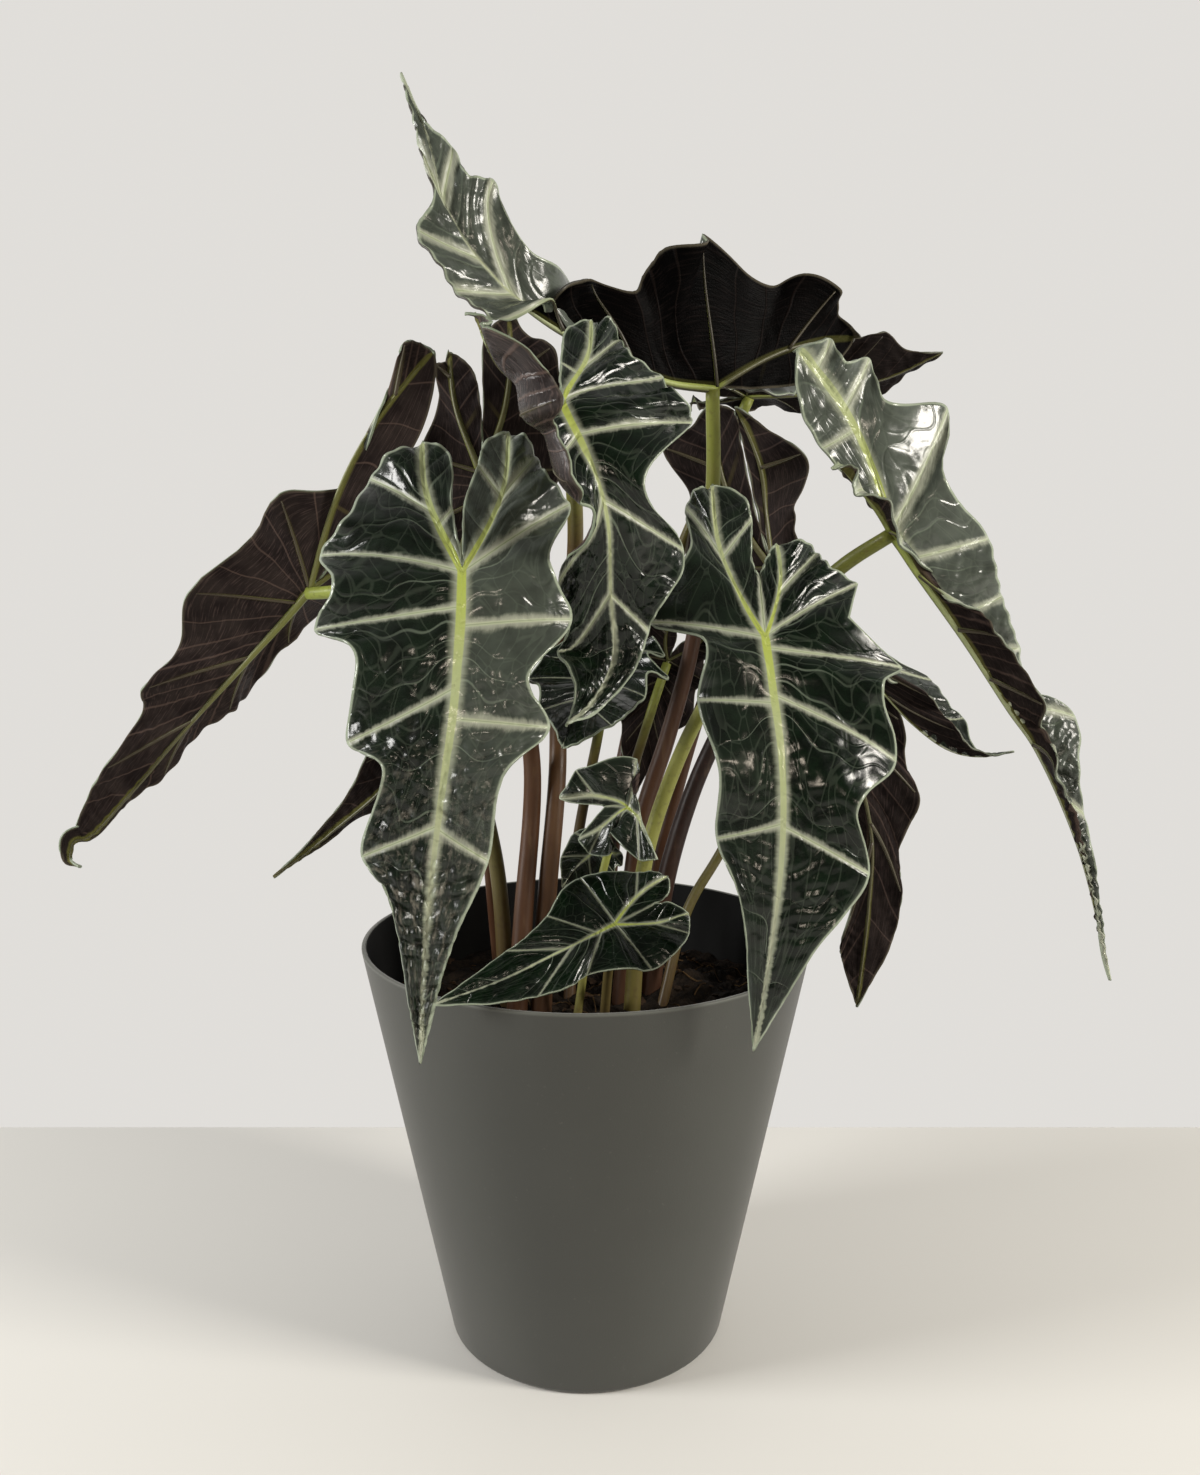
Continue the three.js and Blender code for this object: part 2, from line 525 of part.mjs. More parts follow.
    left: { sinus: -3, inner: [[2, -10]], lobe: [7, -16],
      veins: [[-10, 11, -12, 12, -6], [0, 5.7, 30, 11, 38], [14, 15, 49, 12, 61],
        [36, 11, 74, 4.6, 86]] },
    right: { sinus: -3, inner: [[2, -12]], lobe: [8, -20],
      veins: [[-12, 12, -14, 12, -8], [0, 15, 6, 12, 18], [12, 29, 51, 22, 63],
        [36, 21, 81, 3.6, 88]] },
    stalk: { points: [[34, -5, 151], [46, 8, 192], [61, 16, 216], [89, 24, 266]], foot: 2.6, top: 2 },
  },
  {
    name: "leaf_under_centre",
    detail: 1,
    back: [17, 18, 314],
    midrib: [[8, 5, 303], [-3, -22, 289], [-9, -48, 276]],
    face: [[0, -0.1, -0.5, 0.85], [1, 0, -0.7, 0.7]],
    bend: [[-0.3, 10, 0, 10, 0], [1, 20, 0, 20, 0]],
    left: { sinus: -3, inner: [[2, -12]], lobe: [12, -22],
      veins: [[-14, 22, -16, 20, -8], [0, 30, 4, 25, 12], [10, 26, 24, 18, 34], [26, 14, 44, 6, 54]] },
    right: { sinus: -3, inner: [[2, -12]], lobe: [12, -22],
      veins: [[-14, 22, -16, 20, -8], [0, 32, 4, 27, 12], [10, 27, 23, 26, 46], [26, 18, 49, 8, 61]] },
    stalk: { points: [[-8, 10, 151], [-5, 30, 215], [6, 26, 275]], foot: 3, top: 2.2 },
  },
  {
    name: "leaf_low_behind",
    color: UNDER_PURPLE,
    detail: 1,
    back: [48, 36, 320],
    midrib: [[38, 42, 303], [29, 46, 272], [21, 44, 235]],
    face: [[0, 0, 0.9, 0.3], [1, 0, 0.9, 0.2]],
    bend: [[-0.3, 5, 0, 5, 0], [1, 5, 0, 5, 0]],
    left: { sinus: -3, inner: [[2, -12]], lobe: [10, -20],
      veins: [[-12, 18, -14, 17, -6], [0, 22, 4, 19, 12], [10, 19, 26, 12, 36], [26, 10, 46, 5, 56]] },
    right: { sinus: -3, inner: [[2, -12]], lobe: [10, -20],
      veins: [[-12, 18, -14, 17, -6], [0, 22, 4, 19, 12], [10, 19, 26, 12, 36], [26, 10, 46, 5, 56]] },
    stalk: { points: [[10, 32, 151], [14, 36, 220], [30, 34, 280]], foot: 2.8, top: 2.1 },
  },
  {
    name: "leaf_small_front",
    back: [28, -66, 216],
    midrib: [[12, -74, 210], [-9, -83, 202], [-32, -91, 193], [-57, -98, 186]],
    face: [[0, 0, -0.75, 0.65], [1, 0, -0.75, 0.65]],
    bend: [[-0.3, 0, -5, 0, -5], [1, 5, -5, 5, -5]],
    wave: 1.5,
    left: { sinus: -17, inner: [[1.2, -26]], lobe: [8, -30],
      veins: [[-14, 16, -21, 21, -9], [0, 25, 1.2, 22, 12], [8, 16, 22, 11, 34],
        [22, 10, 43, 5.4, 59]] },
    right: { sinus: -17, inner: [[2, -24]], lobe: [10, -28],
      veins: [[-14, 17, -24, 22, -14], [0, 23, -2.7, 19, 5.5], [6, 13, 20, 15, 28],
        [18, 12, 40, 9, 53]] },
    stalk: { points: [[8, -18, 151], [10, -34, 180], [13, -58, 200]], foot: 2.4, top: 1.8, steps: 8 },
  },
  {
    name: "leaf_small_middle",
    back: [-9, -22, 244],
    midrib: [[18, -24, 246], [25, -28, 236], [30, -34, 226]],
    face: [[0, 0, -1, 0.2], [1, -0.1, -1, 0.1]],
    bend: [[-0.3, 0, 0, 0, 0], [1, 10, 0, 10, 0]],
    wave: 1.5,
    left: { sinus: -10, inner: [[6, -17]], lobe: [12, -23],
      veins: [[-14, 19, -20, 21, -12], [0, 19, -8, 15, 2], [5, 7, 23, 2.7, 25]] },
    right: { sinus: -10, inner: [[0.8, -13]], lobe: [6, -29],
      veins: [[-14, 17, -20, 18, -13], [0, 21, -1.7, 9, -1.1], [5, 1.7, 4.9, 0.8, 14]] },
    stalk: { points: [[-4, -21, 151], [2, -18, 190], [12, -16, 232]], foot: 2, top: 1.6, steps: 8 },
  },
  {
    name: "leaf_small_shaded",
    detail: 1,
    back: [16, 20, 221],
    midrib: [[5, 15, 218], [-4, 8, 212], [-11, 2, 204]],
    face: [[0, -0.2, -0.8, 0.5], [1, -0.2, -0.8, 0.5]],
    bend: [[-0.3, 0, 0, 0, 0], [1, 10, 0, 10, 0]],
    wave: 1,
    left: { sinus: -3, inner: [[1, -8]], lobe: [6, -10],
      veins: [[-7, 11, -8, 11, -4], [0, 14, 2, 11, 8], [5, 9, 14, 4, 20]] },
    right: { sinus: -3, inner: [[1, -8]], lobe: [6, -10],
      veins: [[-7, 11, -8, 11, -4], [0, 14, 2, 11, 8], [5, 9, 14, 4, 20]] },
    stalk: { points: [[-4, 26, 151], [2, 24, 185]], foot: 2, top: 1.6, steps: 6 },
  },
];

const group = new THREE.Group();

function addPiece(name, solid, color, roughness) {
  const mesh = new THREE.Mesh(toGeometry(solid), new THREE.MeshStandardMaterial({ color, roughness }));
  mesh.name = name;
  group.add(mesh);
}

addPiece("pot", toSolid(potGeometry()), 0x5a5b56, 0.75);
const soil = leaves.reduce((solid, leaf) => solid.subtract(holeSolid(leaf)), toSolid(soilGeometry()));
addPiece("soil", soil, 0x2b221b, 0.95);
leaves.forEach((leaf) => addPiece(leaf.name, leafSolid(leaf), leaf.color ?? UPPER_GREEN, 0.35));

export default group;
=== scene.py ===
# %% [markdown]
# A potted alocasia, dressed in Blender
#
# The plant is a hybrid alocasia: arrow-shaped leaves on upright stalks in a conical grey pot. Each blade is a
# thin sheet, dark and glossy above, purple-brown below, with pale veins that end at the corners of its wavy
# rim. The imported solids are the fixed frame: every piece made here lies where its solid lies.

import math
import random
from types import SimpleNamespace

import bpy
import numpy as np
from mathutils import Matrix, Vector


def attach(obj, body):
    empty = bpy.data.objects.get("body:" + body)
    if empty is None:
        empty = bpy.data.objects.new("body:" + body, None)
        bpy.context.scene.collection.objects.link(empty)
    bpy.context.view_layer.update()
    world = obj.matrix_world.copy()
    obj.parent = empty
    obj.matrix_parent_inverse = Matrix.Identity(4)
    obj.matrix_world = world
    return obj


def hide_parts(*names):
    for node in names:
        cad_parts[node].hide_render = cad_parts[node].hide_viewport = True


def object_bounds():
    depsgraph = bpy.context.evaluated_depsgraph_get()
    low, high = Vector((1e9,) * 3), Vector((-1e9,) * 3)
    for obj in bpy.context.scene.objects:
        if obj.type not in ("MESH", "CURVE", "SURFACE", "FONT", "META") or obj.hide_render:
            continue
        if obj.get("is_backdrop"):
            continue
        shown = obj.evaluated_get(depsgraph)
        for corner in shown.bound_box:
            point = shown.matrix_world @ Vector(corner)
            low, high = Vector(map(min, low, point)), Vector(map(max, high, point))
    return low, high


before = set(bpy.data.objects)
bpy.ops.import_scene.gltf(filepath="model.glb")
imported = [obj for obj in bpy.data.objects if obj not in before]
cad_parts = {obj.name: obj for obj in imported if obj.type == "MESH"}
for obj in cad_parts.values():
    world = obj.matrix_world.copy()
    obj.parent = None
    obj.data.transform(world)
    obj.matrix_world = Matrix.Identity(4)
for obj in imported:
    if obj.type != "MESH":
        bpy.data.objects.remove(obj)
cad_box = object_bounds()
bpy.ops.object.select_all(action="DESELECT")

MM = 0.001
draw = random.Random(7)
print("nodes in the frame:", len(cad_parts))

# %% [markdown]
# The camera sees what the photograph shows: from a little above the rim of the pot, about 56 cm in front of
# it, looking slightly down. The picture is upright, so its height is what the sensor's width spans.

# %% Camera
PHOTO_HEIGHT = 1475
FOCAL_PIXELS = 1281
SENSOR = 36
CAMERA_PLACE = (0.0061, -0.558, 0.357)
LOOKS_DOWN = 8.59

camera_data = bpy.data.cameras.new("camera")
camera_data.sensor_width = SENSOR
camera_data.lens = SENSOR * FOCAL_PIXELS / PHOTO_HEIGHT
camera = bpy.data.objects.new("camera", camera_data)
camera.location = CAMERA_PLACE
camera.rotation_euler = (math.radians(90 - LOOKS_DOWN), 0, 0)
bpy.context.collection.objects.link(camera)
bpy.context.scene.camera = camera
bpy.context.scene.view_settings.view_transform = "Standard"
print("lens in mm:", round(camera_data.lens, 2))

# %% [markdown]
# The room is lit from both sides: a warmer light stands at the right, a cooler and weaker one at the left,
# and a small warm lamp in front gives the leaves their glints. The middle of the round pot stays darker than
# its flanks. Area lights give the long soft highlights that a glossy leaf needs; a point light would leave
# small hard dots. The surrounding is pale behind the plant and dimmer in front of it, or the dark blades
# would turn grey with its reflection.


# %% Light and room
def add_light(name, place, target, size, power, color):
    data = bpy.data.lights.new(name, "AREA")
    data.size = size
    data.energy = power
    data.color = color
    light = bpy.data.objects.new(name, data)
    light.location = place
    way = np.subtract(target, place)
    level = math.hypot(way[0], way[1])
    light.rotation_euler = (math.atan2(level, -way[2]), 0, math.atan2(-way[0], way[1]))
    bpy.context.collection.objects.link(light)
    print(name, "in watts:", power)


add_light("key", (1.35, -0.62, 0.85), (0, 0, 0.28), size=0.40, power=25, color=(1.0, 0.95, 0.87))
add_light("fill", (-1.35, -0.40, 0.75), (0, 0, 0.26), size=0.50, power=21, color=(1.0, 0.985, 0.96))
add_light("lamp", (0.15, -1.60, 0.75), (0, 0, 0.26), size=0.20, power=3.6, color=(1.0, 0.86, 0.70))

# Along each axis: where the shade of the room starts and ends, and its strength there
ROOM_SHADES = {"Y": (-0.8, 0.55, 0.10, 0.75), "Z": (1.0, 0.4, 0.55, 1.0)}
ROOM_COLOR = (1.0, 0.975, 0.935, 1)

world = bpy.data.worlds.new("pale room")
bpy.context.scene.world = world
world.use_nodes = True
room = world.node_tree
split = room.nodes.new("ShaderNodeSeparateXYZ")
room.links.new(room.nodes.new("ShaderNodeTexCoord").outputs["Generated"], split.inputs[0])
both = room.nodes.new("ShaderNodeMath")
both.operation = "MULTIPLY"
for factor, (axis, values) in zip(both.inputs, ROOM_SHADES.items()):
    shade = room.nodes.new("ShaderNodeMapRange")
    shade.interpolation_type = "SMOOTHSTEP"
    for place, value in enumerate(values, start=1):
        shade.inputs[place].default_value = value
    room.links.new(split.outputs[axis], shade.inputs["Value"])
    room.links.new(shade.outputs["Result"], factor)
background = room.nodes["Background"]
background.inputs["Color"].default_value = ROOM_COLOR
room.links.new(both.outputs["Value"], background.inputs["Strength"])

# %% [markdown]
# The plant stands on a pale floor. A plane is enough for it, and its back edge lies where the floor ends in
# the picture. It is a stage, so it isn't part of the object.

# %% Floor
FLOOR_WIDTH = 3.2
FLOOR_BACK = 0.19
bpy.ops.mesh.primitive_plane_add(size=FLOOR_WIDTH)
floor = bpy.context.object
floor.name = "floor"
floor.location.y = FLOOR_BACK - FLOOR_WIDTH / 2
bpy.ops.object.transform_apply(location=True, rotation=False, scale=False)
floor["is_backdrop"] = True
print("floor in metres:", FLOOR_WIDTH)

# %% [markdown]
# Every finish is a small tree of shader nodes. They could be joined by hand in the shader editor; this helper
# does it in code and keeps the trees readable. Each method adds a node, links what it is given and returns
# the socket that comes out. Colours are given as they look on a screen, from 0 to 255, and turned into the
# linear values that the shader works with.


# %% Helper for finishes
def linear(red, green, blue):
    def channel(value):
        share = value / 255
        return share / 12.92 if share <= 0.04045 else ((share + 0.055) / 1.055) ** 2.4

    return channel(red), channel(green), channel(blue), 1.0


def is_socket(value):
    return isinstance(value, bpy.types.NodeSocket)


class Finish:
    """A material with a Principled shader, and short ways to add nodes to it"""

    def __init__(self, name, **constants):
        self.material = bpy.data.materials.new(name)
        self.material.use_nodes = True
        self.tree = self.material.node_tree
        self.shader = self.tree.nodes["Principled BSDF"]
        self.wear(**constants)

    def give(self, socket, value):
        if is_socket(value):
            self.tree.links.new(value, socket)
        else:
            socket.default_value = value

    def wear(self, **sockets):
        """Gives the shader's sockets their values, such as Base_Color"""
        for name, value in sockets.items():
            self.give(self.shader.inputs[name.replace("_", " ")], value)
        return self.material

    def node(self, kind, inputs=(), output=0, **settings):
        node = self.tree.nodes.new(kind)
        for name, value in settings.items():
            setattr(node, name, value)
        for key, value in dict(inputs).items():
            self.give(node.inputs[key], value)
        return node.outputs[output]

    def math(self, operation, first, second=0.0, third=0.0):
        return self.node("ShaderNodeMath", {0: first, 1: second, 2: third}, operation=operation)

    def times(self, first, *factors):
        for factor in factors:
            first = self.math("MULTIPLY", first, factor)
        return first

    def times_plus(self, value, factor, rest):
        return self.math("MULTIPLY_ADD", value, factor, rest)

    def off_whole(self, value):
        """How far a value is from the nearest whole number"""
        part = self.math("FRACT", self.math("ADD", value, 0.5))
        return self.math("ABSOLUTE", self.math("SUBTRACT", part, 0.5))

    def attribute(self, name):
        return self.node("ShaderNodeAttribute", output="Fac", attribute_name=name)

    def attributes(self, *names):
        return [self.attribute(name) for name in names]

    def position(self):
        return self.node("ShaderNodeTexCoord", output="Object")

    def split(self, vector):
        node = self.tree.nodes.new("ShaderNodeSeparateXYZ")
        self.give(node.inputs[0], vector)
        return node.outputs[:]

    def combine(self, x, y, z=0.0):
        return self.node("ShaderNodeCombineXYZ", {0: x, 1: y, 2: z})

    def noise(self, vector, scale, detail=3.0, rough=0.55):
        inputs = {"Vector": vector, "Scale": scale, "Detail": detail, "Roughness": rough}
        return self.node("ShaderNodeTexNoise", inputs)

    def step(self, value, zero_at, one_at, low=0.0, high=1.0):
        """Goes smoothly from low to high while value goes from zero_at to one_at"""
        inputs = {"Value": value, "From Min": zero_at, "From Max": one_at, "To Min": low, "To Max": high}
        return self.node("ShaderNodeMapRange", inputs, interpolation_type="SMOOTHSTEP")

    def mix(self, share, first, second):
        """Goes from the first colour to the second; a colour is a socket, or red, green and blue"""
        node = self.tree.nodes.new("ShaderNodeMix")
        node.data_type = "RGBA"
        self.give(node.inputs[0], share)
        for place, color in ((6, first), (7, second)):
            self.give(node.inputs[place], color if is_socket(color) else linear(*color))
        return node.outputs[2]

    def layers(self, color, *coats):
        """Lays coats over a colour; each is how much it covers there, and its own colour"""
        for share, coat in coats:
            color = self.mix(share, color, coat)
        return color

    def bump(self, height, strength, distance):
        inputs = {"Height": height, "Strength": strength, "Distance": distance}
        return self.node("ShaderNodeBump", inputs, output="Normal")


# %% [markdown]
# The floor is plain and pale, with a trace of unevenness in its tone and gloss, so that it doesn't look like
# an empty white. A picture of a surface would be too much for it; one soft noise does.

# %% Floor finish
ground = Finish("pale floor")
patch = ground.noise(ground.position(), 3.0)
ground.wear(
    Base_Color=ground.mix(patch, (214, 213, 209), (219, 218, 214)),
    Roughness=ground.step(patch, 0.3, 0.7, 0.45, 0.55),
)
floor.data.materials.append(ground.material)
print("nodes in the floor's finish:", len(ground.tree.nodes))

# %% [markdown]
# Leaves, stalks and ribs are all panels: a flat grid is added, and its points are moved to the places that a
# formula gives. A blade could also be traced with a knife and filled, but then its veins would not follow the
# mesh. On a panel they do: rows run from the midrib along the veins, so relief and colour both stay on them.


# %% Panels
MERGE = 0.01 * MM


def add_panel(name, places, **values):
    """Adds a grid with one vertex at each of places, an array of rows, columns and x, y, z in metres"""
    rows, columns = places.shape[:2]
    bpy.ops.mesh.primitive_grid_add(x_subdivisions=columns - 1, y_subdivisions=rows - 1, calc_uvs=False)
    panel = bpy.context.object
    panel.name = name
    mesh = panel.data
    mesh.vertices.foreach_set("co", np.ascontiguousarray(places, dtype=np.float32).ravel())
    for key, value in values.items():
        field = np.broadcast_to(np.asarray(value, dtype=np.float32), (rows, columns))
        layer = mesh.attributes.new(key, "FLOAT", "POINT")
        layer.data.foreach_set("value", np.ascontiguousarray(field).ravel())
    mesh.update()
    return panel


def join(pieces):
    bpy.ops.object.select_all(action="DESELECT")
    for piece in pieces:
        piece.select_set(True)
    bpy.context.view_layer.objects.active = pieces[0]
    if len(pieces) > 1:
        bpy.ops.object.join()
    return bpy.context.object


def join_panels(name, panels, merge=MERGE):
    """One piece of all the panels, with points closer than merge made one"""
    piece = join(panels)
    piece.name = name
    piece.data.name = name
    bpy.ops.object.mode_set(mode="EDIT")
    bpy.ops.mesh.select_all(action="SELECT")
    bpy.ops.mesh.remove_doubles(threshold=merge)
    bpy.ops.object.mode_set(mode="OBJECT")
    return piece


def apply_modifier(piece, kind, **settings):
    modifier = piece.modifiers.new(kind.lower(), kind)
    for name, value in settings.items():
        setattr(modifier, name, value)
    bpy.context.view_layer.objects.active = piece
    bpy.ops.object.modifier_apply(modifier=modifier.name)


# %% [markdown]
# A smooth line through a few chosen points is what a leaf's rim, its midrib and its stalk have in common. The
# centripetal Catmull-Rom curve passes through its points and doesn't overshoot between uneven ones.


# %% Smooth lines
SAME_PLACE = 1e-4


def smooth_line(points, places):
    """Points of the curve at places, where place 2.5 lies halfway from the third point to the fourth"""
    points = np.asarray(points, dtype=float)
    padded = np.vstack([2 * points[0] - points[1], points, 2 * points[-1] - points[-2]])
    places = np.clip(np.asarray(places, dtype=float), 0, len(points) - 1)
    start = np.minimum(places.astype(int), len(points) - 2)
    share = (places - start)[:, None]
    before, first, second, after = (padded[start + k] for k in range(4))
    spans = ((before, first), (first, second), (second, after))
    gaps = [np.sqrt(np.linalg.norm(b - a, axis=1))[:, None] for a, b in spans]
    middle = np.where(gaps[1] < SAME_PLACE, 1.0, gaps[1])
    left, right = (np.where(gap < SAME_PLACE, middle, gap) for gap in gaps[::2])
    ahead = (second - first) / middle
    leave = ((first - before) / left - (second - before) / (left + middle) + ahead) * middle
    arrive = (ahead - (after - first) / (middle + right) + (after - second) / right) * middle
    bend = -3 * first + 3 * second - 2 * leave - arrive
    twist = 2 * first - 2 * second + leave + arrive
    return first + leave * share + bend * share**2 + twist * share**3


def even_line(points, count):
    """The same curve as count points at equal distances"""
    fine = smooth_line(points, np.linspace(0, len(points) - 1, 60 * len(points)))
    lengths = np.concatenate([[0], np.cumsum(np.linalg.norm(np.diff(fine, axis=0), axis=1))])
    wanted = np.linspace(0, lengths[-1], count)
    return np.stack([np.interp(wanted, lengths, fine[:, axis]) for axis in range(3)], axis=1)


def keyed(keys, at):
    """Values that go smoothly from key to key; a key is its place and the values there"""
    stops = np.array([key[0] for key in keys], dtype=float)
    values = np.array([key[1:] for key in keys], dtype=float)
    index = np.clip(np.searchsorted(stops, at) - 1, 0, len(stops) - 2)
    share = np.clip((at - stops[index]) / (stops[index + 1] - stops[index]), 0, 1)
    share = share * share * (3 - 2 * share)
    return values[index] + (values[index + 1] - values[index]) * share[..., None]


def unit(vectors):
    return vectors / np.linalg.norm(vectors, axis=-1, keepdims=True)


# %% [markdown]
# A tube is a panel rolled up round a line. Its first and last columns fall on each other, and an extra row of
# no radius closes each end. The sheath at a stalk's foot is the same tube with a swelling on one side.


# %% Tubes
def tube_places(line, radii, sides, swelling=None):
    """Rows of points round a line, all in the line's unit; swelling scales the radius by ring and angle"""
    ahead = unit(np.gradient(line, axis=0))
    across = np.zeros_like(line)
    reference = np.eye(3)[0 if abs(ahead[0][0]) < 0.9 else 1]
    for i, direction in enumerate(ahead):
        reference = reference - direction * reference.dot(direction)
        reference = reference / np.linalg.norm(reference)
        across[i] = reference
    other = np.cross(ahead, across)
    angles = np.linspace(0, 2 * math.pi, sides + 1)
    reach = np.asarray(radii, dtype=float)[:, None] * np.ones(sides + 1)
    if swelling is not None:
        reach = reach * swelling(angles)
    ring = across[:, None] * np.cos(angles)[:, None] + other[:, None] * np.sin(angles)[:, None]
    body = line[:, None] + ring * reach[..., None]
    closed = [np.repeat(line[end][None, None], sides + 1, axis=1) for end in (0, -1)]
    return np.concatenate([closed[0], body, closed[1]])[:, ::-1]


# %% [markdown]
# Each leaf is described by few numbers, in millimetres. The midrib runs in space from the joint with the
# stalk to the tip, and back is a point behind the joint, between the two lobes. Face and bend are given at
# shares of the length: face is where the upper side looks, and bend is how far the left half folds up at the
# midrib and curls up in 50 mm of its width, in degrees, and then the same for the right half. Each half is an
# outline drawn flat: its sinus, the inner side of the lobe, the lobe's end, and then the veins. A vein is its
# root on the spine, its end on the rim, and one or more points of the rim up to the next vein.

